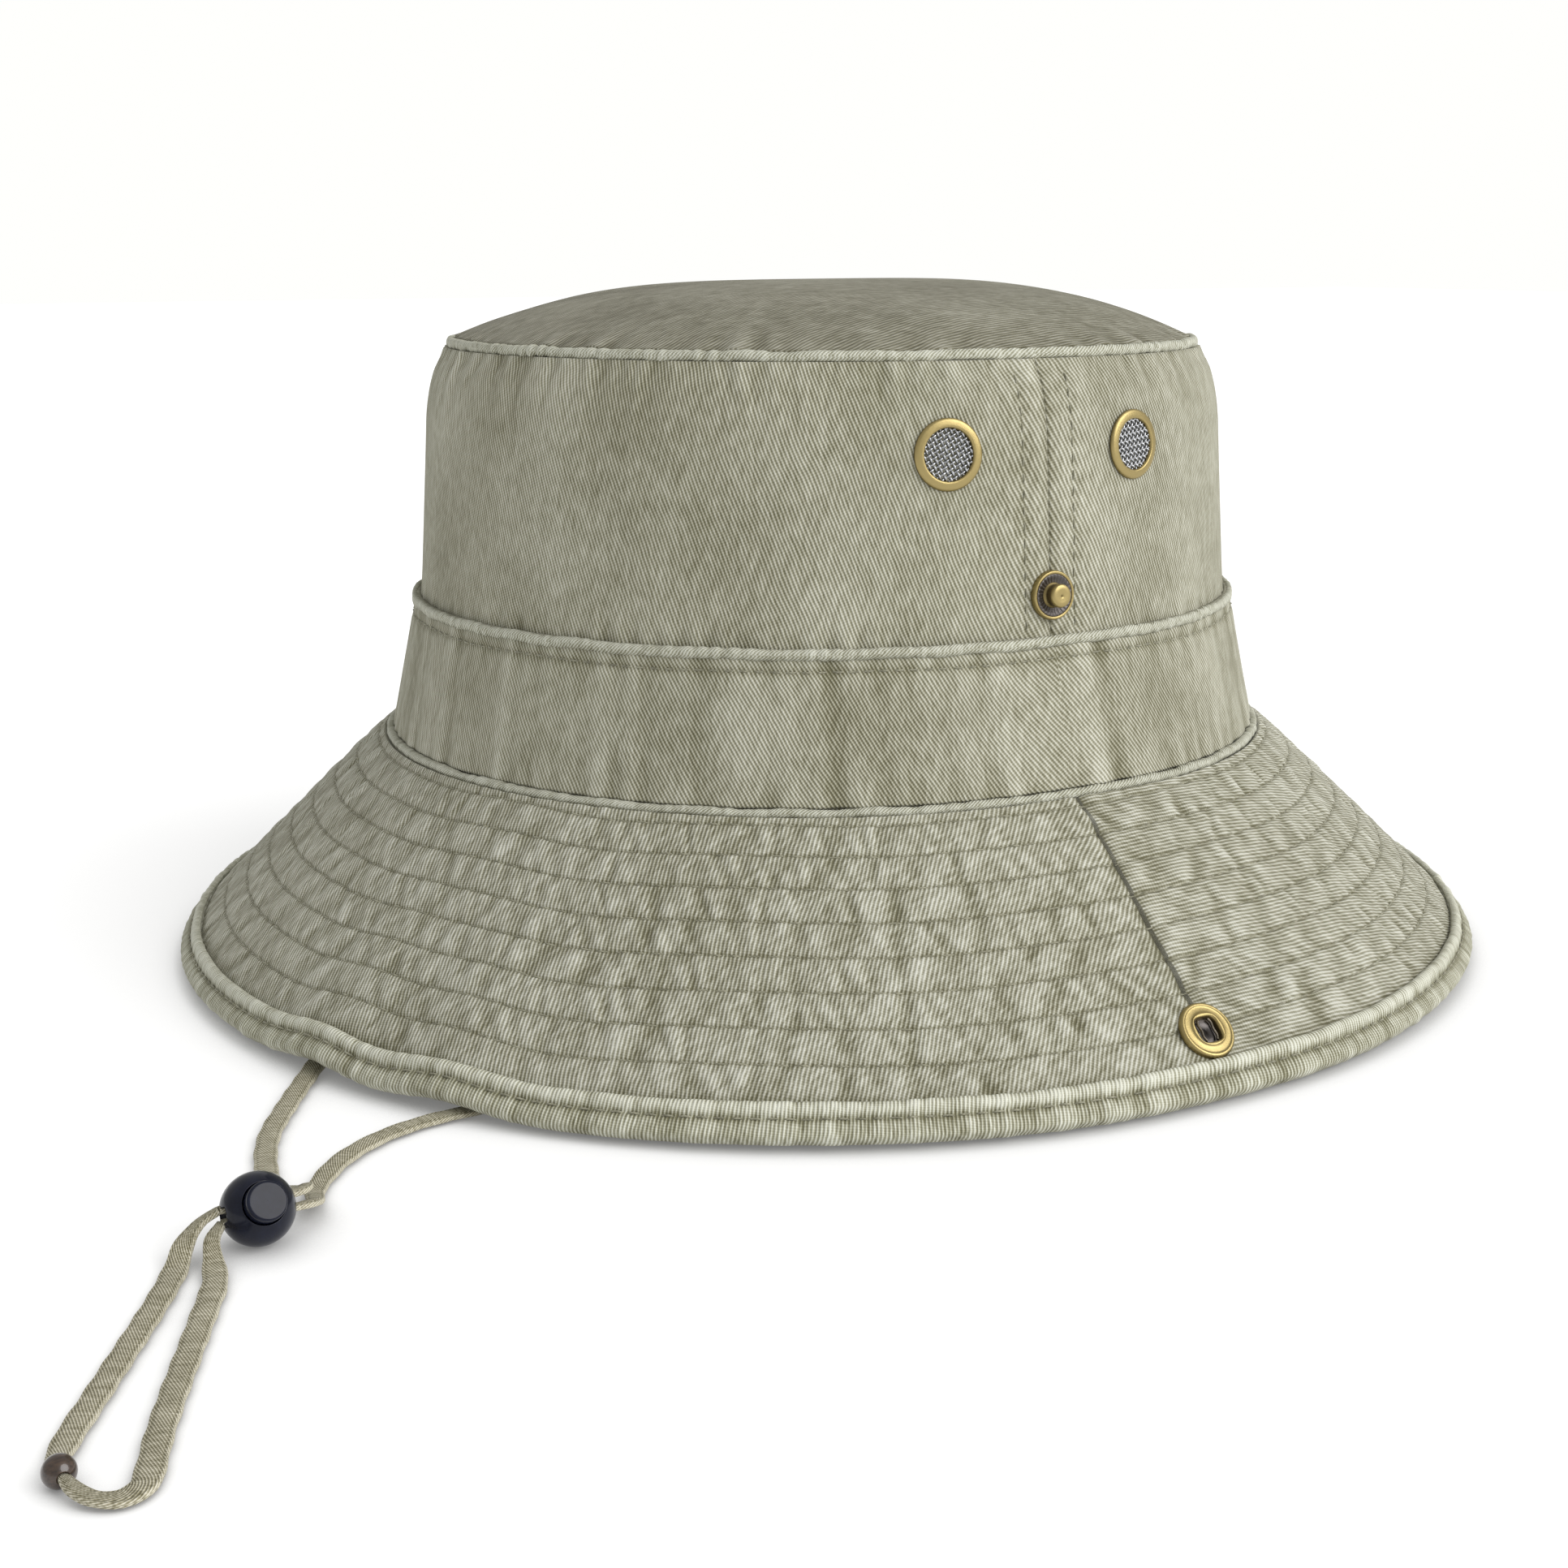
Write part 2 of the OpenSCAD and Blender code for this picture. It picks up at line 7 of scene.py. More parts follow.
import bmesh
import bpy
import numpy as np
from mathutils import Matrix, Vector
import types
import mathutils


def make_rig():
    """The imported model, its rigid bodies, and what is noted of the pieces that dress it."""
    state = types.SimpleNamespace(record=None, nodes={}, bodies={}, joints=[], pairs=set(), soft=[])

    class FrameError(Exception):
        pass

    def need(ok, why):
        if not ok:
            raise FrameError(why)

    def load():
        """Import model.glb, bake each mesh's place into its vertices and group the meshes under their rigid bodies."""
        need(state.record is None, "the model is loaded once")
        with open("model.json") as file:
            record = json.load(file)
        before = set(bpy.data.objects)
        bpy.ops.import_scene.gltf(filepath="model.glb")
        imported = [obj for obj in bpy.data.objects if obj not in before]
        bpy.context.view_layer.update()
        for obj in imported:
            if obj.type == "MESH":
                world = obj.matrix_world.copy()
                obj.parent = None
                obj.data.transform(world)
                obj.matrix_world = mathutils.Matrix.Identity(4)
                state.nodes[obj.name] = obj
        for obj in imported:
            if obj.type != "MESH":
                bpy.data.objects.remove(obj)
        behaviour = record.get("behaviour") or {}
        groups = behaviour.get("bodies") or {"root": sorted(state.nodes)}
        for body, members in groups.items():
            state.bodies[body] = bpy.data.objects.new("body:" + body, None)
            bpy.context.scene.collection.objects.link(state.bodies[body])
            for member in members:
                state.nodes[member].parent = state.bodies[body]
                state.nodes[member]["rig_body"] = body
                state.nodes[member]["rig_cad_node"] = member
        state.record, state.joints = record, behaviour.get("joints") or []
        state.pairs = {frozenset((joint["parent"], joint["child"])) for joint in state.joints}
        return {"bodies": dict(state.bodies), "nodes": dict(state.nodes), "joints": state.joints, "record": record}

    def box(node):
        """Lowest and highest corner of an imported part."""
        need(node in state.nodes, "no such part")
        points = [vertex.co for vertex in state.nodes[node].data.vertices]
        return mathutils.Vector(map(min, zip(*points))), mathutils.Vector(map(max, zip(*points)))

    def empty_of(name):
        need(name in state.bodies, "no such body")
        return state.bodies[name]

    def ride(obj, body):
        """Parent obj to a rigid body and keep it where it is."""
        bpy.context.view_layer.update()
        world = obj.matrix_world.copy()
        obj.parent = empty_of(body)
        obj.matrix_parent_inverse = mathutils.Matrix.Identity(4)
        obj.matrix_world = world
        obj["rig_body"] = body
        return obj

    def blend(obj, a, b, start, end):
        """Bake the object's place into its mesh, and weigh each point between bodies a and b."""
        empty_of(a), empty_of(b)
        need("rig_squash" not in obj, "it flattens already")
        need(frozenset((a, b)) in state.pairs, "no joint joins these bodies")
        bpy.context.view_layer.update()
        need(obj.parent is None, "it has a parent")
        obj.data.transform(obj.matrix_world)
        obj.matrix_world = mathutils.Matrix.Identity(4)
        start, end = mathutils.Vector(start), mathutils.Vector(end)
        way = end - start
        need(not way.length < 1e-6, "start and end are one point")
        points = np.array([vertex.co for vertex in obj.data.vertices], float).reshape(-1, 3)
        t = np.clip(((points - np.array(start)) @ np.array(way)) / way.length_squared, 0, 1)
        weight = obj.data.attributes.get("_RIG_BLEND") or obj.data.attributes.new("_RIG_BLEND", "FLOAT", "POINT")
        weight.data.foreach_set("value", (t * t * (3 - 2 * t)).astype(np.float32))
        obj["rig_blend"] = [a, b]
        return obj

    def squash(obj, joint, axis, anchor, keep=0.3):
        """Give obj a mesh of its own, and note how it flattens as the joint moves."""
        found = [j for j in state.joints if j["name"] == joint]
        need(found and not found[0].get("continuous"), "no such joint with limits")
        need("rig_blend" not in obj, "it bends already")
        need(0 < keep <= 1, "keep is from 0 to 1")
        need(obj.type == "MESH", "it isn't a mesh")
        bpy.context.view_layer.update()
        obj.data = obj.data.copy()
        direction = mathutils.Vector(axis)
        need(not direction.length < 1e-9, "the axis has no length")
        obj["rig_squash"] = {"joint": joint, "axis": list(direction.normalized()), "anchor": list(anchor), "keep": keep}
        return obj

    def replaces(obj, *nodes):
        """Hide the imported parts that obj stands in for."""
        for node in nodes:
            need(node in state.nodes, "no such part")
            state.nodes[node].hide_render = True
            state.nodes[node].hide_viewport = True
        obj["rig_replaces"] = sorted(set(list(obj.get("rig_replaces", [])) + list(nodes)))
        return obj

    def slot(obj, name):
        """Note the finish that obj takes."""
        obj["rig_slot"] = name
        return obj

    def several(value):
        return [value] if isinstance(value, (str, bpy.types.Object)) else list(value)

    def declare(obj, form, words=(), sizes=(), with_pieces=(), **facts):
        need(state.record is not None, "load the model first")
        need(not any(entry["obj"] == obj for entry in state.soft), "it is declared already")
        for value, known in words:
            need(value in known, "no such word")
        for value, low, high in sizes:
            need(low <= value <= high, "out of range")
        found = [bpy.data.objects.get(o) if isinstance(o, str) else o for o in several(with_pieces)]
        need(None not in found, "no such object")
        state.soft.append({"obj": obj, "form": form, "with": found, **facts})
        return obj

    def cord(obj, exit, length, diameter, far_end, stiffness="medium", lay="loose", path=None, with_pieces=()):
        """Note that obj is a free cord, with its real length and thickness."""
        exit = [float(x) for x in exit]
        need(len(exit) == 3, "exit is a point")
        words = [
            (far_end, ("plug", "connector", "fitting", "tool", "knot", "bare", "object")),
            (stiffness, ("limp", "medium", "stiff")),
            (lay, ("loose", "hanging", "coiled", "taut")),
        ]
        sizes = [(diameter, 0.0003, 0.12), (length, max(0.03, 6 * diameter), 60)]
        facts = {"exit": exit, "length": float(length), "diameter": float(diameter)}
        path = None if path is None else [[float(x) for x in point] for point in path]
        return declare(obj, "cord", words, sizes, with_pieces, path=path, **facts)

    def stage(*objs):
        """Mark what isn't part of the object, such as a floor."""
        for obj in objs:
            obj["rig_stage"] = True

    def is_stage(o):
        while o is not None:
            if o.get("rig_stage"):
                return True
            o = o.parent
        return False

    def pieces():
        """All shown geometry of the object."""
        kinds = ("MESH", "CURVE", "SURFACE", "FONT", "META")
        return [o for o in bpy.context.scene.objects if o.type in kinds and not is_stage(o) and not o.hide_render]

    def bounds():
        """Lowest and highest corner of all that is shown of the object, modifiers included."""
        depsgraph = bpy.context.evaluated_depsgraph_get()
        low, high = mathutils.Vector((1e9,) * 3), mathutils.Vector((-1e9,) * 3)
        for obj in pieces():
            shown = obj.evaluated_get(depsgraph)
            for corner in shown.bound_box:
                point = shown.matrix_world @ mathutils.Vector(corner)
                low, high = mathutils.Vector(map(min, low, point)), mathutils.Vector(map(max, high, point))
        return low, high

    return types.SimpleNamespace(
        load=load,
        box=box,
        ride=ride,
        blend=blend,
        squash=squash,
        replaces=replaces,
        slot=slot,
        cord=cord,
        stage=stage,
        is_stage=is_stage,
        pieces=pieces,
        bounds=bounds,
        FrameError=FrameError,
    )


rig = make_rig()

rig.load()
CAD_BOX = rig.bounds()
MM = 0.001


def mm(rows):
    """Numbers in millimetres as an array in metres."""
    return np.asarray(rows, float) * MM


def node_box(name):
    """Lowest and highest corner of a CAD node as arrays."""
    low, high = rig.box(name)
    return np.array(low), np.array(high)


# ---- Driving shape: the oval outline, the wall line and the brim, as the CAD has them ----
BASE_R = 95.4 * MM
OVAL = 4.8 * MM
CLOTH_T = 1.0 * MM
BAND_T = 1.2 * MM
SWEAT_T = 1.2 * MM
TAPE_T = 0.6 * MM  # the tapes over the seams, inside
BRIM_T = 2.6 * MM
BIND_T = 0.8 * MM
BIND_W = 6.6 * MM
BRIM_FALL = math.radians(44.3)
BRIM_COS = math.cos(BRIM_FALL)
BRIM_SIN = math.sin(BRIM_FALL)
BRIM_SLANT = 69 * MM
SOCKET_S = 56.2 * MM
STUD_Z = 87.7 * MM
VENT_Z = 116 * MM
VENT_ANGLE = math.radians(12)
BRIM_Z = BRIM_SLANT * BRIM_SIN + (BRIM_T / 2 + BIND_T) * BRIM_COS
TOP_SEAM_Z = node_box("crown_top_welt")[0][2] + 0.8 * MM
TOP_SEAM_IN = 16.4 * MM
DOME_Z = node_box("crown_top_panel")[1][2]
BAND_TOP_Z = node_box("hat_band")[1][2] - 0.8 * MM
BAND_LOW_Z = node_box("hat_band")[0][2] - 1.2 * MM
FOOT_Z = node_box("sweatband")[0][2]
SWEAT_TOP_Z = node_box("sweatband")[1][2]
TAPE_SPAN = [corner[2] for corner in node_box("crown_seam_tape")]
SHOULDER_Z = TOP_SEAM_Z - 14 * MM
SHOULDER_OFF = 5.8 * MM - TOP_SEAM_IN
BAND_EDGE = -BAND_T - 6.6 * MM
WALL_Z = np.array([FOOT_Z, BAND_TOP_Z, SHOULDER_Z, SHOULDER_Z + 6 * MM, SHOULDER_Z + 10.5 * MM,
                   TOP_SEAM_Z - 0.8 * MM])
WALL_OFF = np.array([-0.8 * MM, BAND_EDGE, SHOULDER_OFF, SHOULDER_OFF - 1.2 * MM,
                     SHOULDER_OFF - 2.9 * MM, 0.6 * MM - TOP_SEAM_IN])
SIDE_U = 0.9  # the crown side's mean radius over the base radius
SIDES = ("left", "right")
TAU = 2 * math.pi


def smooth(x, low, high):
    """0 below low, 1 above high, and an S curve between them."""
    t = np.clip((np.asarray(x, float) - low) / (high - low), 0, 1)
    return t * t * (3 - 2 * t)


def bump(x, middle, width):
    """A bell of height 1."""
    return np.exp(-(((np.asarray(x, float) - middle) / width) ** 2))


def wall_off(z):
    """Offset of the crown wall's outer face from the base outline, with its corners eased."""
    ease = 1.8 * MM
    return np.mean([np.interp(np.asarray(z) + k * ease, WALL_Z, WALL_OFF) for k in (-1, 0, 1)], 0)


def oval_xy(theta, off, oval=OVAL):
    """Points of the oval outline moved outwards by off."""
    r = BASE_R + off
    return r * np.cos(theta), r * np.sin(theta) + oval * np.tanh(8 * np.sin(theta))


def oval_points(theta, off, z, oval=OVAL):
    """Points at heading theta, that far outside the base outline, at height z."""
    x, y = oval_xy(theta, off, oval)
    return np.stack([x, y, z + 0 * x], -1)


def turn_from(theta, middle):
    """Angle from middle to theta, from minus half a turn to half a turn."""
    return np.mod(theta - middle + math.pi, TAU) - math.pi


def grid(a, b):
    return np.meshgrid(a, b, indexing="ij")


def ring_noise(theta, low, high, seed, count=18):
    """Smooth noise round the hat, with low to high waves in a full turn, from about -1 to 1."""
    rng = np.random.default_rng(seed)
    waves = rng.integers(low, high + 1, count)
    phase = rng.uniform(0, TAU, count)
    total = sum(np.sin(k * theta + p) for k, p in zip(waves, phase))
    return total / math.sqrt(count / 2) / 1.6


def creases(theta, tilt, seed, count, width):
    """Sharp valleys with soft shoulders at random places round the hat; tilt skews each one."""
    rng = np.random.default_rng(seed)
    total = 0 * theta
    for k in range(count):
        middle = (k + rng.uniform(0, 1)) * TAU / count
        wide = width * rng.uniform(0.6, 1.5)
        skew = rng.normal() * 2.2 * width
        turn = turn_from(theta + skew * tilt, middle)
        depth = rng.uniform(0.2, 1.0)
        total = total + depth * (0.55 * bump(np.abs(turn), 2.0 * wide, 1.3 * wide) - bump(turn, 0, wide))
    return total


def field_noise(points, wave, seed, count=28):
    """Smooth noise in space with about that wavelength, from about -1 to 1."""
    rng = np.random.default_rng(seed)
    total = 0
    for _ in range(count):
        way = rng.normal(size=3)
        way *= TAU / (wave * rng.uniform(0.7, 1.6) * np.linalg.norm(way))
        total = total + np.sin(points @ way + rng.uniform(0, TAU))
    return total / math.sqrt(count / 2) / 1.6


# ---- Mesh helpers ----
def grid_faces(ni, nj, wrap_i):
    """Quads of ni rings of nj points. The rings close, and so does their row where wrap_i is set."""
    a, b = grid(np.arange(ni if wrap_i else ni - 1), np.arange(nj))
    a2, b2 = (a + 1) % ni, (b + 1) % nj
    return np.stack([a * nj + b, a2 * nj + b, a2 * nj + b2, a * nj + b2], -1).reshape(-1, 4)


def grid_uv(uv, ni, nj, wrap_i):
    """UVs per face corner. uv has one more row or column than the points where that way closes."""
    a, b = grid(np.arange(ni if wrap_i else ni - 1), np.arange(nj))
    corners = [uv[a, b], uv[a + 1, b], uv[a + 1, b + 1], uv[a, b + 1]]
    return np.stack(corners, 2).reshape(-1, 2)


def add_object(name, data):
    obj = bpy.data.objects.new(name, data)
    bpy.context.scene.collection.objects.link(obj)
    return obj


def mesh_from(work, name):
    """A mesh made from a bmesh, which is freed."""
    mesh = bpy.data.meshes.new(name)
    work.to_mesh(mesh)
    work.free()
    return mesh


def new_object(name, verts, faces, material, uv=None, attrs=None, caps=()):
    mesh = bpy.data.meshes.new(name)
    polys = np.asarray(faces).tolist() + [list(c) for c in caps]
    mesh.from_pydata(np.asarray(verts, float).reshape(-1, 3).tolist(), [], polys)
    if uv is not None:
        layer = mesh.uv_layers.new(name="cloth")
        flat = np.zeros((len(mesh.loops), 2), np.float32)
        flat[: len(uv)] = uv
        layer.data.foreach_set("uv", flat.ravel())
    for key, values in (attrs or {}).items():
        attribute = mesh.attributes.new(key, "FLOAT", "POINT")
        attribute.data.foreach_set("value", np.asarray(values, np.float32).ravel())
    mesh.materials.append(material)
    mesh.polygons.foreach_set("use_smooth", np.ones(len(mesh.polygons), bool))
    mesh.validate()
    mesh.update()
    return add_object(name, mesh)


def fix_normals(obj):
    """Turns the faces outwards."""
    work = bmesh.new()
    work.from_mesh(obj.data)
    bmesh.ops.recalc_face_normals(work, faces=work.faces)
    work.to_mesh(obj.data)
    work.free()
    return obj


def shell(name, points, uv, material, wrap, crest=None):
    """A closed piece: points (n, m, 3) go round a closed cross-section of m points at n stations."""
    n, m = points.shape[:2]
    caps = () if wrap else (range(m), range((n - 1) * m, n * m))
    attrs = None if crest is None else {"crest": crest}
    obj = new_object(name, points, grid_faces(n, m, wrap), material, grid_uv(uv, n, m, wrap), attrs, caps)
    return fix_normals(obj)


def strip(name, theta, u, z, face, z_back, back, crest, material, wrap, oval=OVAL):
    """A layer of cloth round the crown: a modelled face (n, m) over a plain back, at their heights."""
    rest = (len(theta), len(z_back))
    off = np.hstack([face, np.broadcast_to(back, rest)])
    height = np.concatenate([z, z_back])
    uv = np.stack(grid(u, np.append(height, z[0])), -1)
    crest = np.hstack([crest, np.zeros(rest)])
    return shell(name, oval_points(theta[:, None], off, height, oval), uv, material, wrap, crest)


def soft_section(count, flat_x, flat_y):
    """Corners of a flat section with round ends, from -1 to 1 each way. Lower powers are squarer."""
    corner = np.linspace(0, TAU, count + 1)[:-1]
    x, y = np.cos(corner), np.sin(corner)
    return np.abs(x) ** flat_x * np.sign(x), np.abs(y) ** flat_y * np.sign(y)


def finish_piece(obj, body, slot, *nodes):
    """Rides the body, names its material slot, and stands for the CAD nodes named."""
    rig.ride(obj, body)
    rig.slot(obj, slot)
    if nodes:
        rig.replaces(obj, *nodes)
    return obj


# ---- Materials ----
class Shader:
    """A node material with short calls for the nodes used here."""

    def __init__(self, name, **sockets):
        self.mat = bpy.data.materials.new(name)
        self.mat.use_nodes = True
        self.tree = self.mat.node_tree
        self.bsdf = self.tree.nodes["Principled BSDF"]
        for key, value in sockets.items():
            self.bsdf.inputs[key.replace("_", " ")].default_value = value

    def node(self, kind, inputs=None, **settings):
        n = self.tree.nodes.new(kind)
        for key, value in settings.items():
            setattr(n, key, value)
        for key, value in (inputs or {}).items():
            self.put(n.inputs[key], value)
        return n

    def put(self, socket, value):
        if isinstance(value, bpy.types.NodeSocket):
            self.tree.links.new(value, socket)
        else:
            socket.default_value = value

    def math(self, op, a, b=0.0):
        return self.node("ShaderNodeMath", {0: a, 1: b}, operation=op).outputs[0]

    def noise(self, vector, scale, detail=3.0, rough=0.55):
        return self.node("ShaderNodeTexNoise", {"Vector": vector, "Scale": scale, "Detail": detail,
                                                "Roughness": rough}).outputs["Fac"]

    def place(self):
        return self.node("ShaderNodeTexCoord").outputs["Object"]

    def wave(self, vector, pitch, wobble):
        """Parallel ribs that far apart along X of the vector, from 0 to 1."""
        scale = TAU / 20 / pitch
        return self.node("ShaderNodeTexWave", {"Vector": vector, "Scale": scale, "Distortion": wobble,
                                               "Detail": 2.0, "Detail Scale": 1 / (scale * 1.5 * MM)},
                         wave_type="BANDS", bands_direction="X").outputs["Fac"]

    def ramp(self, fac, *stops):
        n = self.node("ShaderNodeValToRGB", {0: fac})
        marks = n.color_ramp.elements
        while len(marks) < len(stops):
            marks.new(0.5)
        for mark, (place, colour) in zip(marks, stops):
            mark.position = place
            mark.color = (*colour, 1)
        return n.outputs[0]

    def bump(self, height, distance, strength=1.0):
        inputs = {"Height": height, "Distance": distance, "Strength": strength}
        return self.node("ShaderNodeBump", inputs).outputs[0]

    def set(self, **links):
        for key, value in links.items():
            self.put(self.bsdf.inputs[key.replace("_", " ")], value)
        return self.mat


def turned(shader, source, degrees, stretch=1.0):
    """The pattern turned, and drawn out along its own Y where stretch is under 1."""
    return shader.node("ShaderNodeMapping", {"Vector": source, "Rotation": (0, 0, math.radians(degrees)),
                                             "Scale": (1, stretch, 1)}).outputs[0]


def warped(shader, uv, wave, reach):
    """Shifts the pattern about by up to reach, so that its lines drift as pulled cloth does."""
    noise = shader.node("ShaderNodeTexNoise", {"Vector": uv, "Scale": 1 / wave, "Detail": 2.0})
    steps = (("SUBTRACT", {0: noise.outputs["Color"], 1: (0.5, 0.5, 0.5)}), ("SCALE", {"Scale": reach}),
             ("ADD", {1: uv}))
    value = None
    for operation, inputs in steps:
        if value is not None:
            inputs[0] = value
        value = shader.node("ShaderNodeVectorMath", inputs, operation=operation).outputs[0]
    return value


# Colours of the washed khaki, from the valleys, dark with painted shade, to the ridges, light with wear and painted
# highlight
KHAKI = ((0.12, (0.112, 0.105, 0.058)), (0.5, (0.296, 0.288, 0.212)), (0.92, (0.575, 0.575, 0.505)))


def twill(name, rib_degrees, tint=(1, 1, 1), pitch=0.78 * MM, contrast=1.0, drift=1.6 * MM, mottle=1.0):
    """Washed khaki twill. The crest attribute is 1 on ridges, drawn lighter as wear and painted highlight, and -1 in
    valleys, drawn darker as painted shade.
    """
    s = Shader(name, Roughness=0.92, Sheen_Weight=0.12, Sheen_Roughness=0.6, Specular_IOR_Level=0.15)
    uv = warped(s, s.node("ShaderNodeUVMap", uv_map="cloth").outputs[0], 22 * MM, drift)
    ribs = s.wave(turned(s, uv, rib_degrees), pitch, 0.55)
    yarns = s.wave(turned(s, uv, rib_degrees + 90), 0.5 * MM, 1.2)
    streaks = s.noise(turned(s, uv, rib_degrees, 0.22), 1500, 2.0, 0.6)
    slubs = s.noise(turned(s, uv, rib_degrees, 0.3), 420, 2.0, 0.6)
    cloud = s.noise(uv, 28, 4.0, 0.6)
    patch = s.noise(uv, 130, 3.0, 0.6)
    # Painted light and shade: the crest attribute darkens valleys, creases and stitch grooves and lightens ridges in
    # the base colour.
    crest = s.node("ShaderNodeAttribute", attribute_name="crest").outputs["Fac"]
    tone = s.math("MULTIPLY", crest, 0.24 * contrast)
    for value, weight in ((ribs, 0.5), (yarns, 0.14), (streaks, 0.85 * mottle), (slubs, 0.34 * mottle),
                          (cloud, 0.36), (patch, 0.26 * mottle)):
        part = s.math("MULTIPLY", s.math("SUBTRACT", value, 0.5), weight)
        tone = s.math("ADD", tone, part)
    stops = [(place, [a * b for a, b in zip(colour, tint)]) for place, colour in KHAKI]
    height = s.math("ADD", s.math("MULTIPLY", ribs, 0.7), s.math("MULTIPLY", streaks, 0.3))
    return s.set(Base_Color=s.ramp(s.math("ADD", tone, 0.5), *stops), Normal=s.bump(height, 0.22 * MM, 0.9))


def thread_material():
    s = Shader("thread", Roughness=0.8, Sheen_Weight=0.2)
    place = s.place()
    colour = s.ramp(s.noise(place, 900, 2.0), (0.3, (0.13, 0.125, 0.08)), (0.7, (0.33, 0.32, 0.235)))
    return s.set(Base_Color=colour, Normal=s.bump(s.noise(place, 6000, 1.0), 0.05 * MM))


def brass_material(name, dark, bright, rough):
    """Antique brass, from a point attribute: dark low down, as brown patina and painted shade in the hollows, and
    rubbed bright where it is high, as wear.
    """
    s = Shader(name, Metallic=1.0)
    place = s.place()
    # The point attribute read here is low in the hollows, painted shade there as well as patina, and high on raised
    # parts, as wear.
    wear_and_shade = s.node("ShaderNodeAttribute", attribute_name="wear_and_shade").outputs["Fac"]
    grime = s.noise(place, 900, 4.0, 0.65)
    fac = s.math("ADD", s.math("MULTIPLY", wear_and_shade, 0.75), s.math("MULTIPLY", grime, 0.35))
    colour = s.ramp(fac, (0.12, dark), (0.75, bright))
    rough_map = s.math("ADD", s.math("MULTIPLY", grime, 0.22), rough - 0.11)
    return s.set(Base_Color=colour, Roughness=rough_map,
                 Normal=s.bump(s.noise(place, 3500, 2.0), 0.03 * MM, 0.6))


def plastic_material():
    s = Shader("lock_plastic", Roughness=0.16, Specular_IOR_Level=0.22)
    place = s.place()
    colour = s.ramp(s.noise(place, 400, 3.0), (0.3, (0.004, 0.005, 0.011)), (0.75, (0.01, 0.012, 0.024)))
    return s.set(Base_Color=colour, Normal=s.bump(s.noise(place, 700, 2.0), 0.02 * MM, 0.35))


def wood_material():
    s = Shader("bead_wood", Roughness=0.3, Coat_Weight=0.5)
    place = s.place()
    grain = s.noise(turned(s, place, 20, 0.15), 2600, 4.0)
    colour = s.ramp(grain, (0.3, (0.016, 0.009, 0.006)), (0.7, (0.06, 0.034, 0.02)))
    return s.set(Base_Color=colour, Normal=s.bump(grain, 0.03 * MM, 0.5))


def wire_material(name, colour):
    s = Shader(name, Metallic=1.0, Roughness=0.32)
    place = s.place()
    dull = [c * 0.6 for c in colour]
    return s.set(Base_Color=s.ramp(s.noise(place, 1800, 2.0), (0.3, dull), (0.7, colour)))


# Rib angles are measured in each panel's own flat pattern; tints are over the khaki above
SIDE_TWILL = twill("twill_crown_side", -22, (1, 0.995, 0.97), 0.72 * MM, mottle=0.68)
# The crown top's darker tint is painted shade: the top is drawn darker than the sides for how the light falls on it.
TOP_TWILL_PAINTED_SHADE = twill("twill_crown_top", -13, (0.62, 0.605, 0.565))
BAND_TWILL = twill("twill_band", -33, (1, 0.995, 0.97), 0.72 * MM, mottle=0.68)
BRIM_TWILL = twill("twill_brim", 29, contrast=0.95, drift=2.2 * MM)
WELT_TWILL = twill("twill_welt", 35, (1.04, 1.05, 1.03), 0.6 * MM, 0.9)
BIND_TWILL = twill("twill_binding", -6, (1.14, 1.15, 1.13), 0.72 * MM, 0.9)
UNDER_TWILL = twill("twill_inside", 30, (0.86, 0.86, 0.86))
TAPE_TWILL = twill("twill_tape", 62, (1.16, 1.1, 1.02), 0.42 * MM, 0.6, 0.5 * MM)
THREAD = thread_material()
BRASS = brass_material("antique_brass", (0.07, 0.05, 0.022), (0.36, 0.285, 0.125), 0.4)
GUNMETAL = brass_material("dark_dish", (0.012, 0.011, 0.013), (0.11, 0.1, 0.095), 0.42)
MESH_WIRE = wire_material("mesh_wire", (0.5, 0.51, 0.53))
SPRING_WIRE = wire_material("spring_wire", (0.16, 0.14, 0.11))
PLASTIC = plastic_material()
WOOD = wood_material()


# ---- Camera ----
def add_camera():
    azimuth, pitch = math.radians(58.9), math.radians(13.93)
    distance, height = 0.50, 0.1546
    focal_share = 1.3813  # focal length over frame width
    data = bpy.data.cameras.new("camera")
    data.sensor_width = 36
    data.lens = 36 * focal_share
    data.shift_x = -0.0255
    data.clip_start = 0.01
    camera = add_object("camera", data)
    camera.location = (distance * math.sin(azimuth), -distance * math.cos(azimuth), height)
    camera.rotation_euler = (math.pi / 2 - pitch, 0, azimuth)
    bpy.context.scene.camera = camera


# ---- Chin cord: route points in metres, with the width at each, as in the CAD ----
LEFT_ROUTE = mm([
    [90.8, -1, 46.6, 4], [90, -3, 37, 4], [89.4, -6, 27, 4], [88.8, -10, 17, 4], [88, -15, 9, 4],
    [87, -22, 3, 4], [86, -31, 0.9, 4], [84, -45, 0.9, 4], [82, -60, 0.9, 4], [80, -76, 0.9, 4],
    [78, -92, 0.9, 4], [77, -108, 0.9, 4], [77, -120, 0.9, 4], [77.5, -131, 0.9, 4],
    [80.5, -141, 0.9, 4], [86.5, -150, 0.9, 4], [95, -157, 0.9, 3.6], [102, -159.5, 2, 3],
    [107, -161, 4, 2.2], [109.6, -165, 5.1, 1.6], [109.6, -171, 5.1, 1.6], [109.6, -177, 5.1, 1.6]])
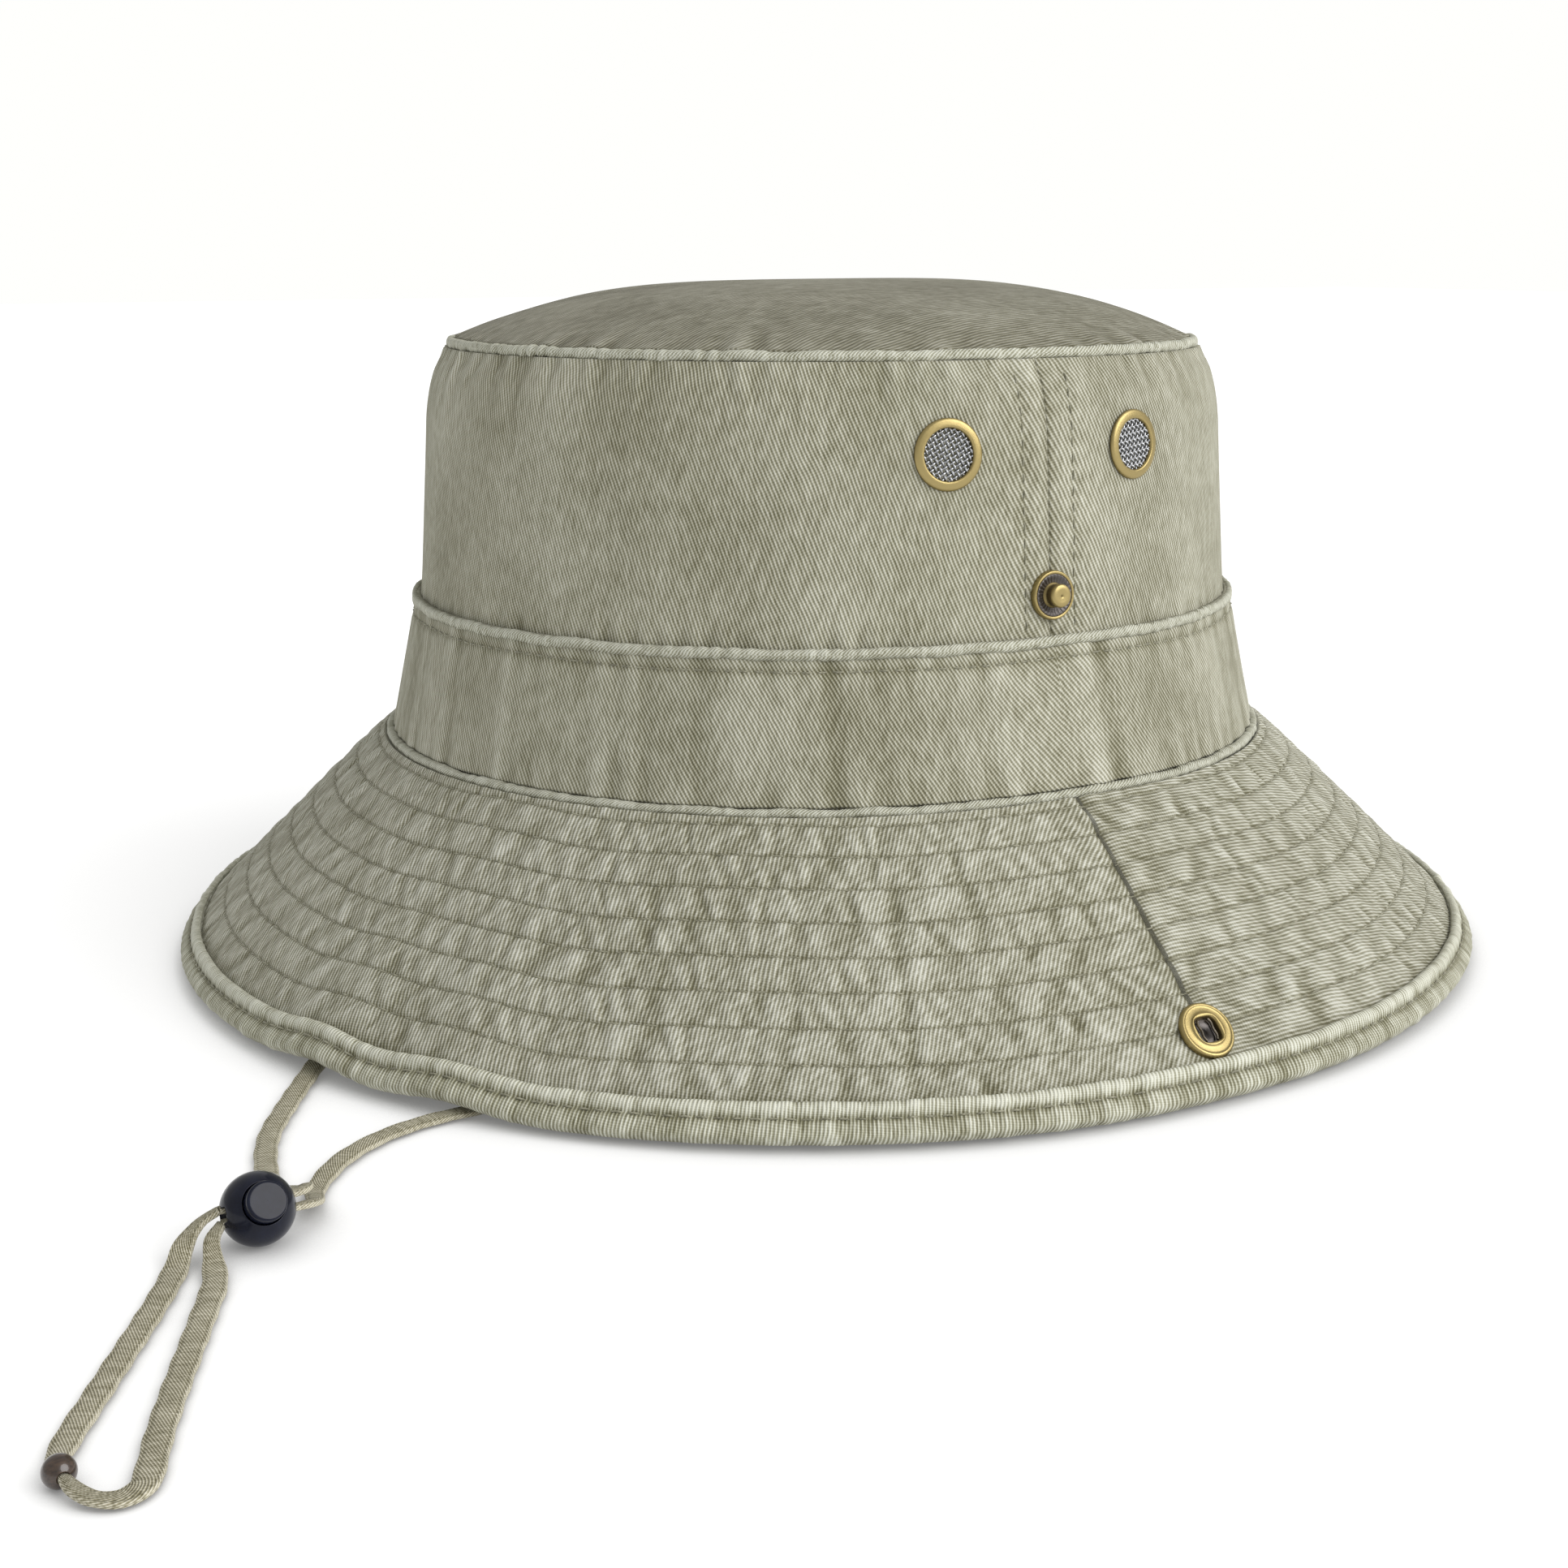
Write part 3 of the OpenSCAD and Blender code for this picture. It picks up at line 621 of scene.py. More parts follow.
RIGHT_ROUTE = mm([
    [-90.8, -1, 46.6, 4], [-90, -3, 37, 4], [-89.4, -6, 27, 4], [-88.2, -10, 17, 4], [-86, -15, 9, 4],
    [-82, -22, 3, 4], [-76, -31, 0.9, 4], [-66, -45, 0.9, 4], [-53, -60, 0.9, 4],
    [-38, -76, 0.9, 4], [-22, -91, 0.9, 4], [-5, -106, 0.9, 4], [12, -119, 0.9, 4],
    [28, -131, 0.9, 4], [43, -141, 0.9, 4], [57, -150, 0.9, 4], [70, -157.5, 0.9, 4],
    [83, -162, 0.9, 4], [93, -163.4, 1.6, 3.6], [100, -162.6, 3.7, 3], [105.2, -161.8, 6.2, 2.2],
    [108.1, -164.2, 6.9, 1.6], [108.4, -171, 6.9, 1.6], [108.4, -177, 6.9, 1.6]])
LOOP_ROUTE = mm([
    [108.4, -177, 6.9, 1.6], [108.2, -180, 5.4, 2.4], [109.4, -183, 3, 3.4], [113, -185.4, 0.9, 4],
    [120, -189.2, 0.9, 4], [128, -194, 0.9, 4], [137, -199.6, 0.9, 4], [146, -205.2, 0.9, 4],
    [154, -210.2, 0.9, 4], [159.4, -213, 1.1, 3.4], [162.4, -213.9, 1.9, 2.4], [163.8, -214, 2.3, 1.6],
    [165, -214, 2.3, 1.6], [166.4, -213.9, 2.3, 1.6], [169.4, -213.2, 1.9, 2.2],
    [172, -211.4, 1.3, 2.8], [173.2, -208.4, 0.9, 3.4], [172, -205.4, 0.9, 4], [168.8, -203.6, 0.9, 4],
    [160, -200, 0.9, 4], [150, -195.4, 0.9, 4], [140, -190.6, 0.9, 4], [130, -185.8, 0.9, 4],
    [121, -181.6, 0.9, 4], [115.5, -180.2, 1.6, 3.4], [111.6, -179.2, 3.6, 2.4],
    [109.6, -177, 5.1, 1.6]])
CORD_T = 1.2 * MM
CORD_W = 4 * MM
HANG_POINTS = 6  # points of each strand from its tab to the floor, where the tape faces outwards
LOCK_POS = mm([109, -171, 6])


def catmull(a, b, c, d, t):
    """The smooth curve from b to c, at t from 0 to 1, with a before it and d after it."""
    square, cube = 2 * a - 5 * b + 4 * c - d, 3 * b - a - 3 * c + d
    return 0.5 * (2 * b + (c - a) * t + square * t * t + cube * t ** 3)


def spline(route, step=0.7 * MM):
    """A smooth curve through the route's points, close enough together to sweep."""
    pts = np.vstack([2 * route[0] - route[1], route, 2 * route[-1] - route[-2]])
    out, share = [], []
    for i in range(1, len(pts) - 2):
        a, b, c, d = pts[i - 1: i + 3]
        count = max(3, int(np.linalg.norm((c - b)[:3]) / step))
        t = np.arange(count)[:, None] / count
        out.append(catmull(a, b, c, d, t))
        share.append(i - 1 + t[:, 0])
    out.append(route[-1:])
    share.append([len(route) - 1])
    return np.vstack(out), np.concatenate(share)


def unit(v):
    return v / np.maximum(np.linalg.norm(v, axis=-1, keepdims=True), 1e-12)


def run_length(points):
    """Distance along the points from the first one."""
    return np.concatenate([[0], np.cumsum(np.linalg.norm(np.diff(points, axis=0), axis=1))])


def tape(name, route, hang, seed):
    """A flat tape folded from twill, with raised stitched edges, swept along the route."""
    line, share = spline(route)
    path, width = line[:, :3], line[:, 3]
    heading = unit(np.gradient(path, axis=0))
    lean = np.clip(1 - share / max(hang, 1), 0, 1) * (1 if hang else 0)
    facing = unit(np.stack([lean * np.sign(route[0, 0]), 0 * lean, 1 - lean + 1e-6], -1))
    across = unit(np.cross(heading, facing))
    over = np.cross(across, heading)
    length = run_length(path)
    rim, lift = soft_section(40, 0.7, 0.5)
    groove = 1 - 0.22 * bump(np.abs(rim), 0.72, 0.07)
    phase = np.random.default_rng(seed).uniform(0, TAU)
    waver = 1 + 0.05 * np.sin(length / (7 * MM) * TAU + phase)
    pucker = 1 + 0.05 * np.sin(length[:, None] / (3.4 * MM) * TAU) * bump(np.abs(rim), 0.8, 0.2)
    half_w = (width * waver / 2)[:, None]
    half_t = CORD_T / 2 * groove * pucker
    points = (path[:, None] + across[:, None] * (half_w * rim)[..., None]
              + over[:, None] * (half_t * lift)[..., None])
    section = np.stack([CORD_W / 2 * rim, CORD_T / 2 * lift], -1)
    uv = np.stack(grid(length, run_length(np.vstack([section, section[:1]]))), -1)
    # Painted light and shade in the crest: the raised edges lighter, as wear and painted highlight, and the stitch
    # groove darker as painted shade.
    crest = 0.9 * bump(np.abs(rim), 0.97, 0.12) - 1.3 * bump(np.abs(rim), 0.72, 0.06)
    obj = shell(name, points, uv, TAPE_TWILL, False, np.broadcast_to(crest, points.shape[:2]))
    return obj, path, length[-1]


def lock_weight(points, reach):
    """1 beside the cord lock, falling to 0 that far from it."""
    away = np.linalg.norm(points - LOCK_POS, axis=1)
    return 1 - smooth(away, 7 * MM, reach)


def blend_by(obj, body, weights):
    """Bends obj between the hat and a moving body, with a weight for each point."""
    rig.blend(obj, "hat", body, start=(0, 0, 0), end=(0, 0, 1))
    obj.data.attributes["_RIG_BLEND"].data.foreach_set("value", np.asarray(weights, np.float32))


def mesh_points(obj):
    """The mesh's points as an array."""
    co = np.zeros(len(obj.data.vertices) * 3, np.float32)
    obj.data.vertices.foreach_get("co", co)
    return co.reshape(-1, 3).astype(float)


def add_cords():
    """The three stretches of tape, with the lock, the bead and the tabs that are on them."""
    lock = cord_lock()
    tabs = anchor_tabs()
    rows = (("cord_left", LEFT_ROUTE, HANG_POINTS, "chin_cord_left", "fitting", lock + tabs[:1],
             60 * MM),
            ("cord_right", RIGHT_ROUTE, HANG_POINTS, "chin_cord_right", "object", tabs[1:], 60 * MM),
            ("cord_loop", LOOP_ROUTE, 0, "chin_cord_loop", "fitting", [bead()], 62 * MM))
    for seed, (name, route, hang, node, far_end, extras, reach) in enumerate(rows):
        obj, path, length = tape(name, route, hang, seed)
        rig.slot(obj, "cord_tape")
        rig.replaces(obj, node)
        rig.cord(obj, exit=path[0], length=length, diameter=CORD_W, far_end=far_end,
                stiffness="limp", lay="loose", path=path, with_pieces=extras)
        blend_by(obj, "cord_lock", lock_weight(mesh_points(obj), reach))


# ---- Crown ----
def side_displacement(theta, z):
    """Gathers under the top seam, soft folds lower down, and a sunk line at each side seam."""
    below = TOP_SEAM_Z - z
    gathers = ring_noise(theta, 40, 95, 11) * np.exp(-below / (7 * MM)) * 0.34 * MM
    tucks = creases(theta, below / (8 * MM), 15, 64, 0.010) * np.exp(-below / (6 * MM)) * 0.42 * MM
    folds = ring_noise(theta + 0.9 * (z - BAND_TOP_Z), 9, 26, 12) * 0.12 * MM
    slack = ring_noise(theta - 1.6 * z, 5, 14, 13) * np.sin(z * 55) * 0.2 * MM
    near_band = ring_noise(theta, 50, 120, 14) * bump(z, BAND_TOP_Z + 1 * MM, 4 * MM) * 0.18 * MM
    seam = np.abs(np.sin(theta)) * BASE_R * 0.88
    groove = -0.45 * MM * bump(seam, 0, 0.7 * MM) + 0.12 * MM * bump(seam, 2 * MM, 1.6 * MM)
    rows = -0.16 * MM * bump(seam, 4 * MM, 0.6 * MM)
    pull = 0.12 * MM * np.sin(z / (3.1 * MM) * TAU + 3 * np.sin(z * 300)) * bump(seam, 4 * MM, 2.2 * MM)
    loose = (gathers + tucks + folds + slack + near_band) * (1 - fixed_spots(theta, z))
    return loose + groove + rows + pull


def fixed_spots(theta, z):
    """1 under the vents and the studs, whose metal presses the cloth flat, and 0 away from them."""
    spots = [(side + k * VENT_ANGLE * 1.25, VENT_Z, 9 * MM) for side in (0, math.pi) for k in (-1, 1)]
    spots += [(side, STUD_Z, 6.5 * MM) for side in (0, math.pi)]
    total = 0
    for angle, height, reach in spots:
        away = np.hypot(turn_from(theta, angle) * BASE_R * SIDE_U, z - height)
        total = total + 1 - smooth(away, reach * 0.8, reach * 1.6)
    return np.clip(total, 0, 1)


def crown_side(name, node, start):
    """One half of the crown's side, from theta start over half a turn, inside and outside."""
    theta = start + np.linspace(0, math.pi, 520)
    z_out = np.linspace(FOOT_Z, TOP_SEAM_Z - 0.6 * MM, 110)
    z_in = z_out[::-3]
    grid_t, grid_z = grid(theta, z_out)
    moved = side_displacement(grid_t, grid_z)
    face = wall_off(grid_z) + moved * smooth(grid_z, BAND_TOP_Z - 6 * MM, BAND_TOP_Z)
    # The folds' height also goes into the crest attribute, so valleys, the side seams' groove and their stitch rows get
    # painted shade and ridges get wear and painted highlight.
    obj = strip(name, theta, (theta - start) * BASE_R * SIDE_U, z_out, face, z_in, wall_off(z_in) - CLOTH_T,
                moved / MM, SIDE_TWILL, False)
    return finish_piece(obj, "hat", "washed_twill", node)


def top_height(r, theta):
    """Height of the dome over the seam, with ripples that die out away from it."""
    rim = BASE_R - TOP_SEAM_IN - 1.4 * MM
    share = np.clip(r / rim, 0, 1)
    rise = (DOME_Z - TOP_SEAM_Z - 1.4 * MM) * (1 - share ** 3.4) + 0.4 * MM
    ripples = ring_noise(theta, 30, 80, 21) * np.exp(-(rim - r) / (5 * MM)) * 0.35 * MM
    return TOP_SEAM_Z + rise + ripples, ripples


def crown_top():
    rim = BASE_R - TOP_SEAM_IN - 1.2 * MM
    theta = np.linspace(0, TAU, 481)[:-1]
    radii = rim * np.linspace(0.004, 1, 90)
    grid_t, grid_r = grid(theta, radii)
    z, ripples = top_height(grid_r, grid_t)
    x = grid_r * np.cos(grid_t)
    y = grid_r * np.sin(grid_t) + OVAL * np.tanh(8 * np.sin(grid_t)) * grid_r / rim
    top = np.stack([x, y, z + CLOTH_T], -1)
    soft = field_noise(top.reshape(-1, 3), 45 * MM, 22).reshape(z.shape)
    fade = smooth(1 - grid_r / rim, 0.02, 0.3)
    top[..., 2] += soft * 0.55 * MM * fade
    under = top[:, ::-3].copy()
    under[..., 2] -= CLOTH_T
    points = np.concatenate([top, under], 1)
    # The ripples and soft swells go into the crest attribute: painted shade in the hollows, wear and painted highlight
    # on the rises.
    crest = np.hstack([soft * 0.5 * fade + ripples / (0.5 * MM), 0 * under[..., 0]])
    uv = np.concatenate([points, points[:, :1]], 1)[..., :2]
    obj = shell("crown_top", points, np.concatenate([uv, uv[:1]]), TOP_TWILL_PAINTED_SHADE, True, crest)
    return finish_piece(obj, "hat", "washed_twill", "crown_top_panel")


def piping(name, off, z, half_w, half_h, seed, waves, *nodes):
    """A folded seam edge that stands proud as a soft ridge, nipped in at every stitch."""
    stations, corners = 1300, 18
    theta = np.linspace(0, TAU, stations + 1)
    u = theta * (BASE_R + off)
    theta = theta[:-1]
    nip = 1 + 0.07 * ring_noise(theta, *waves, seed) + 0.04 * ring_noise(theta, 20, 60, seed + 1)
    nip = nip[:, None]
    wander = 0.13 * MM * ring_noise(theta, 12, 45, seed + 2)[:, None]
    rim, lift = soft_section(corners, 0.8, 0.8)
    points = oval_points(theta[:, None], off + half_w * nip * rim, z + wander + half_h * nip * lift)
    # Painted light and shade: the crest lightens the welt's outer, upper side and darkens its inner underside and the
    # nips at each stitch.
    crest = (0.9 * rim + 0.5 * lift) * 0.9 + 3 * (nip - 1)
    uv = np.stack(grid(u, np.linspace(0, 9 * MM, corners + 1)), -1)
    return finish_piece(shell(name, points, uv, WELT_TWILL, True, crest), "hat", "washed_twill", *nodes)


# Name, offset, height, half width, half height, seed, range of waves and CAD node of each sewn edge
WELTS = (
    ("top_welt_cloth", -0.3 * MM - TOP_SEAM_IN, TOP_SEAM_Z + 0.3 * MM, 1.1 * MM, 1.15 * MM, 201, (90, 200),
     "crown_top_welt"),
    ("band_fold_cloth", BAND_EDGE + BAND_T + 0.1 * MM, BAND_TOP_Z - 0.3 * MM, 0.8 * MM, 1.1 * MM, 211,
     (110, 240)),
    ("base_welt_cloth", 0.1 * MM, BAND_LOW_Z - 0.9 * MM, 1.1 * MM, 0.95 * MM, 221, (100, 220),
     "base_welt"))


def band_surface(theta, z):
    """Offset of the hat band's face, and how far its ripples lift it."""
    span = BAND_TOP_Z - BAND_LOW_Z
    share = (z - BAND_LOW_Z) / span
    at_seams = 0.4 + bump(share, 0, 0.25) + bump(share, 1, 0.25)
    ripples = ring_noise(theta + 0.5 * z, 40, 110, 31) * 0.16 * MM * at_seams
    soft = ring_noise(theta, 8, 22, 32) * 0.3 * MM * np.sin(np.clip(share, 0, 1) * math.pi)
    stitched = -0.25 * MM * bump(z, BAND_TOP_Z - 3.6 * MM, 0.8 * MM)
    base = np.interp(z, [BAND_LOW_Z, BAND_TOP_Z], [-0.36 * MM, BAND_EDGE + BAND_T])
    return base + ripples + soft + stitched, ripples + soft * 0.6 + stitched


def hat_band():
    around = np.linspace(0, TAU, 1101)
    theta = around[:-1]
    z_out = np.linspace(BAND_LOW_Z, BAND_TOP_Z + 0.6 * MM, 60)
    z_in = z_out[::-4]
    face, lift = band_surface(*grid(theta, z_out))
    # The lift goes into the crest attribute: painted shade in the ripples' hollows and in the stitched groove, wear and
    # painted highlight on their rises.
    obj = strip("hat_band_cloth", theta, around * BASE_R, z_out, face, z_in, wall_off(z_in) + 0.05 * MM,
                lift / (0.4 * MM), BAND_TWILL, True)
    return finish_piece(obj, "hat", "washed_twill", "hat_band")


def inner_ring(name, node, z0, z1, thick, seed):
    """A strip sewn inside the crown: the sweatband or the seam tape."""
    around = np.linspace(0, TAU, 721)
    theta = around[:-1]
    z_in = np.linspace(z1, z0, 40)
    z_out = z_in[::-4]
    grid_t, grid_z = grid(theta, z_in)
    ripples = ring_noise(grid_t, 30, 90, seed) * 0.2 * MM
    face = wall_off(grid_z) - CLOTH_T - thick - ripples - 0.1 * MM
    # The ripples go into the crest attribute: painted shade in their hollows, wear and painted highlight on their
    # rises.
    obj = strip(name, theta, around * BASE_R, z_in, face, z_out, wall_off(z_out) - CLOTH_T,
                ripples / (0.3 * MM), UNDER_TWILL, True)
    return finish_piece(obj, "hat", "inner_twill", node)


def side_tapes():
    """Two upright tapes over the side seams, inside."""
    low, high = node_box("side_seam_tapes")
    half = math.asin(6 * MM / BASE_R)
    z_in = np.linspace(high[2], low[2], 60)
    z_out = z_in[::-4]
    for k, middle in enumerate((0, math.pi)):
        theta = middle + np.linspace(-half, half, 24)
        grid_t, grid_z = grid(theta, z_in)
        edges = bump(np.abs(grid_t - middle), half * 0.7, half * 0.25)
        ripples = 0.12 * MM * np.sin(grid_z / (3.2 * MM) * TAU) * edges
        face = wall_off(grid_z) - CLOTH_T - TAPE_T - ripples
        # The ripples go into the crest attribute: painted shade in their hollows, wear and painted highlight on their
        # rises.
        obj = strip(f"side_tape_{k}", theta, (theta - middle) * BASE_R, z_in, face, z_out,
                    wall_off(z_out) - CLOTH_T, ripples / (0.12 * MM), UNDER_TWILL, False, oval=0)
        finish_piece(obj, "hat", "inner_twill", *(["side_seam_tapes"] if k == 0 else []))


# ---- Brim ----
ROWS = 8
ROW_S = np.linspace(3.4 * MM, 54.8 * MM, ROWS)
ROW_GAP = ROW_S[1] - ROW_S[0]
BIND_S = BRIM_SLANT - BIND_W
CROSSINGS = [math.atan2(-128.5, 77.4), math.atan2(-143, 46.2)]  # where the cord passes under the edge
BRIM_DRIFT = 1.5 * MM  # the brim's edge lies this far to the rear of the base seam's middle
BRIM_OUT = 0.72  # the brim's reach outwards for its slant, for the seam's width
SEAM_DIP = 1.4 * MM  # the pull of the base seam sinks the brim's inner edge


def brim_lift(theta, s):
    """The brim rides up a little where the cord passes under its edge, and waves gently."""
    edge = smooth(s, 0.25 * BRIM_SLANT, BRIM_SLANT)
    over = sum(bump(turn_from(theta, 0), c, 0.085) for c in CROSSINGS)
    wave = 0.5 * (1 + ring_noise(theta, 3, 7, 41)) * 0.7 * MM
    still = 1 - np.exp(-((np.sin(theta) / 0.35) ** 2))
    return edge * (1.9 * MM * over + wave * still)


def row_wander(theta):
    """The stitch rows aren't quite even."""
    return 0.28 * MM * ring_noise(theta, 6, 20, 120)


def brim_displacement(theta, s):
    """Quilting between the stitch rows: each channel puffs out and puckers across the rows."""
    place = (s - row_wander(theta) - ROW_S[0]) / ROW_GAP
    channel = np.clip(np.floor(place), -1, ROWS - 1).astype(int)
    share = np.clip(place - channel, 0, 1)
    puff = np.sin(np.pi * share) ** 0.35
    wrinkle = 0 * place
    for c in range(-1, ROWS):
        mask = channel == c
        t, f = theta[mask], share[mask]
        slant = (f - 0.5) * 0.035
        broad = ring_noise(t + slant, 45, 90, 50 + c)
        fine = ring_noise(t - slant, 95, 190, 70 + c)
        sharp = creases(t, f - 0.5, 30 + c, 78, 0.0085)
        hold = 0.4 + 0.6 * np.sin(np.pi * f) ** 0.5
        wrinkle[mask] = (0.14 * broad + 0.10 * fine + 0.26 * sharp) * hold
    stitch = bump(np.minimum(share, 1 - share) * ROW_GAP, 0, 0.34 * MM)
    shared = creases(theta + 0.4 * s, place * 0.3, 91, 60, 0.011) * 0.16
    total = (0.24 * puff - 0.16 + wrinkle + shared - 0.16 * stitch * (1 + 0.5 * np.sin(theta * 230))) * MM
    seam = np.abs(np.sin(theta)) * (BASE_R + s * BRIM_OUT)
    sunk = bump(seam, 0, 0.6 * MM)
    total = total - 0.6 * MM * sunk + 0.25 * MM * bump(seam, 2.2 * MM, 1.5 * MM)
    fade = smooth(s, 0, 2 * MM) * (1 - smooth(s, BIND_S - 1 * MM, BIND_S + 1.5 * MM))
    # Painted shade and light in the crest: darker in wrinkle valleys, along the stitch rows and in the sunk seam,
    # lighter on wrinkle ridges and puffs, with wear.
    crest = (wrinkle + shared) * 2.7 + (puff - 0.7) * 0.3 - 0.85 * stitch - 1.7 * sunk
    return total * fade, crest * fade


def brim_stations():
    """Slant distances of the brim's mesh rings, close together at each stitch row."""
    first, last = 1.2 * MM, BRIM_SLANT - BIND_T
    near = mm([-0.95, -0.55, -0.28, 0, 0.28, 0.55, 0.95])
    between = np.array([0.27, 0.42, 0.58, 0.73]) * ROW_GAP
    rings = [s + near for s in ROW_S] + [s + between for s in np.append(ROW_S[0] - ROW_GAP, ROW_S)]
    rings = np.unique(np.round(np.concatenate([*rings, mm([62, 63.5, 65.5]), [first, last]]), 6))
    return rings[(rings >= first) & (rings <= last)]


def brim_place(theta, s, t):
    """Points of the brim at slant s and height t over its middle surface."""
    off = s * BRIM_COS + t * BRIM_SIN
    z = BRIM_Z - s * BRIM_SIN + t * BRIM_COS + brim_lift(theta, s)
    z = z - SEAM_DIP * np.exp(-np.maximum(s, 0) / (9 * MM))
    x, y = oval_xy(theta, off)
    return np.stack([x, y + BRIM_DRIFT * s / BRIM_SLANT, z], -1)


def panel_uv(theta, s):
    """Flat pattern of a brim panel: the cone rolled out about the middle of the front or the back."""
    front = np.sin(theta) < 0
    angle = turn_from(theta, np.where(front, -math.pi / 2, math.pi / 2)) * BRIM_COS
    r = BASE_R / BRIM_COS + s
    return np.stack([r * np.sin(angle), r * np.cos(angle)], -1)


def flap_weight(points):
    """How far each point of the brim follows its side flap, from 0 to 1."""
    x, y = np.abs(points[:, 0]), np.abs(points[:, 1])
    off = np.hypot(x, np.maximum(y - OVAL, 0)) - BASE_R
    out = smooth(off, 1.5 * MM, 14 * MM)
    return out * (1 - smooth(y, 24 * MM, 118 * MM))


def half_theta(side, count):
    """theta over the half of the brim on that side, 0 left (+X) and 1 right."""
    return np.linspace(-math.pi / 2, math.pi / 2, count) + math.pi * side


def finish_brim(obj, side, *nodes):
    """Bends a piece of the brim between the hat and its side flap."""
    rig.slot(obj, "washed_twill")
    if nodes:
        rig.replaces(obj, *nodes)
    blend_by(obj, f"{SIDES[side]}_flap", flap_weight(mesh_points(obj)))


def brim_half(side):
    """The quilted cloth of one half of the brim, over and under."""
    name = SIDES[side]
    theta = half_theta(side, 641)
    s_top = brim_stations()
    s_low = s_top[::-2]
    grid_t, grid_s = grid(theta, s_top)
    moved, crest = brim_displacement(grid_t, grid_s)
    top = brim_place(grid_t, grid_s, BRIM_T / 2 + moved)
    low_t, low_s = grid(theta, s_low)
    moved_low, crest_low = brim_displacement(low_t + 0.02, low_s)
    low = brim_place(low_t, low_s, -BRIM_T / 2 - 0.7 * moved_low)
    at_front = theta.copy()
    at_front[np.abs(np.sin(theta)) < 1e-9] -= 1e-7
    uv = panel_uv(*grid(at_front, np.concatenate([s_top, s_low, s_top[:1]])))
    obj = shell(f"brim_{name}_cloth", np.concatenate([top, low], 1), uv, BRIM_TWILL, False,
                np.hstack([crest, crest_low * 0.6]))
    half = ("front", "rear")[side]
    finish_brim(obj, side, f"{name}_flap_upper", f"{name}_flap_interlining", f"{name}_flap_under",
                f"brim_upper_{half}", f"brim_under_{half}", *(["brim_interlining"] if side == 0 else []))


def binding_profile():
    """Cross-section of the binding as (s, t): a folded tape with a ridge at its inner top edge."""
    inner, edge = BIND_S, BRIM_SLANT
    top, thick = BRIM_T / 2, BIND_T
    outer = [(inner, top - 0.1 * MM), (inner - 0.5 * MM, top + 0.5 * MM), (inner - 0.1 * MM, top + 1.35 * MM),
             (inner + 0.9 * MM, top + 1.6 * MM), (inner + 1.9 * MM, top + 1.2 * MM),
             (inner + 2.7 * MM, top + 0.65 * MM), (inner + 3.6 * MM, top + 0.8 * MM),
             (edge - 1.6 * MM, top + thick), (edge - 0.5 * MM, top + 0.45 * MM), (edge, top - 0.3 * MM),
             (edge + 0.1 * MM, 0), (edge, -top + 0.3 * MM), (edge - 0.5 * MM, -top - 0.45 * MM),
             (edge - 1.6 * MM, -top - thick), (inner + 2.5 * MM, -top - 0.7 * MM),
             (inner + 0.6 * MM, -top - thick), (inner, -top - 0.2 * MM)]
    return np.array(outer)


def closed_curve(points, count):
    """count points spread along a smooth closed curve through the points."""
    n = len(points)
    t = np.linspace(0, n, count, endpoint=False)
    i = t.astype(int)
    f = (t - i)[:, None]
    a, b, c, d = (points[(i + k) % n] for k in (-1, 0, 1, 2))
    return catmull(a, b, c, d, f)


def binding_half(side):
    """The folded tape round one half of the brim's edge, with its ridge and its line of stitches."""
    theta = half_theta(side, 901)
    section = closed_curve(binding_profile(), 68)
    grid_t, s = grid(theta, section[:, 0])
    t = np.broadcast_to(section[:, 1], s.shape)
    upper = t > 0
    ridge = bump(s, BIND_S + 0.9 * MM, 1.3 * MM) * upper
    outward = np.sign(t) * smooth(np.abs(t), 0.4 * MM, 1.2 * MM)
    nips = ring_noise(grid_t, 150, 290, 101) * 0.1 * MM + ring_noise(grid_t, 50, 120, 102) * 0.1 * MM
    nips = nips + 0.12 * MM * creases(grid_t, s / (10 * MM), 104, 90, 0.007) * upper
    t = t + nips * outward
    s = s + nips * (1 - np.abs(outward)) + 0.25 * MM * ring_noise(grid_t, 20, 60, 103) * ridge
    points = brim_place(grid_t, s, t)
    points[..., 2] = np.maximum(points[..., 2], 0.05 * MM)
    # Painted light and shade in the crest: the ridge and nips lighter, the groove at the edge row of stitches darker as
    # painted shade.
    crest = 1.2 * ridge + nips / (0.3 * MM) - 1.3 * bump(s, BIND_S + 3 * MM, 0.7 * MM) * upper
    uv = np.stack(grid(theta * (BASE_R + 50 * MM), np.linspace(0, 22 * MM, len(section) + 1)), -1)
    obj = shell(f"binding_{SIDES[side]}_cloth", points, uv, BIND_TWILL, False, crest)
    finish_brim(obj, side, f"{SIDES[side]}_flap_binding", *(["brim_binding"] if side == 0 else []))


# ---- Stitching ----
THREAD_R = 0.19 * MM
CROWN_THREAD_R = 0.18 * MM
SIDE_ROW = 4.2 * MM  # from the side seam to each row beside it


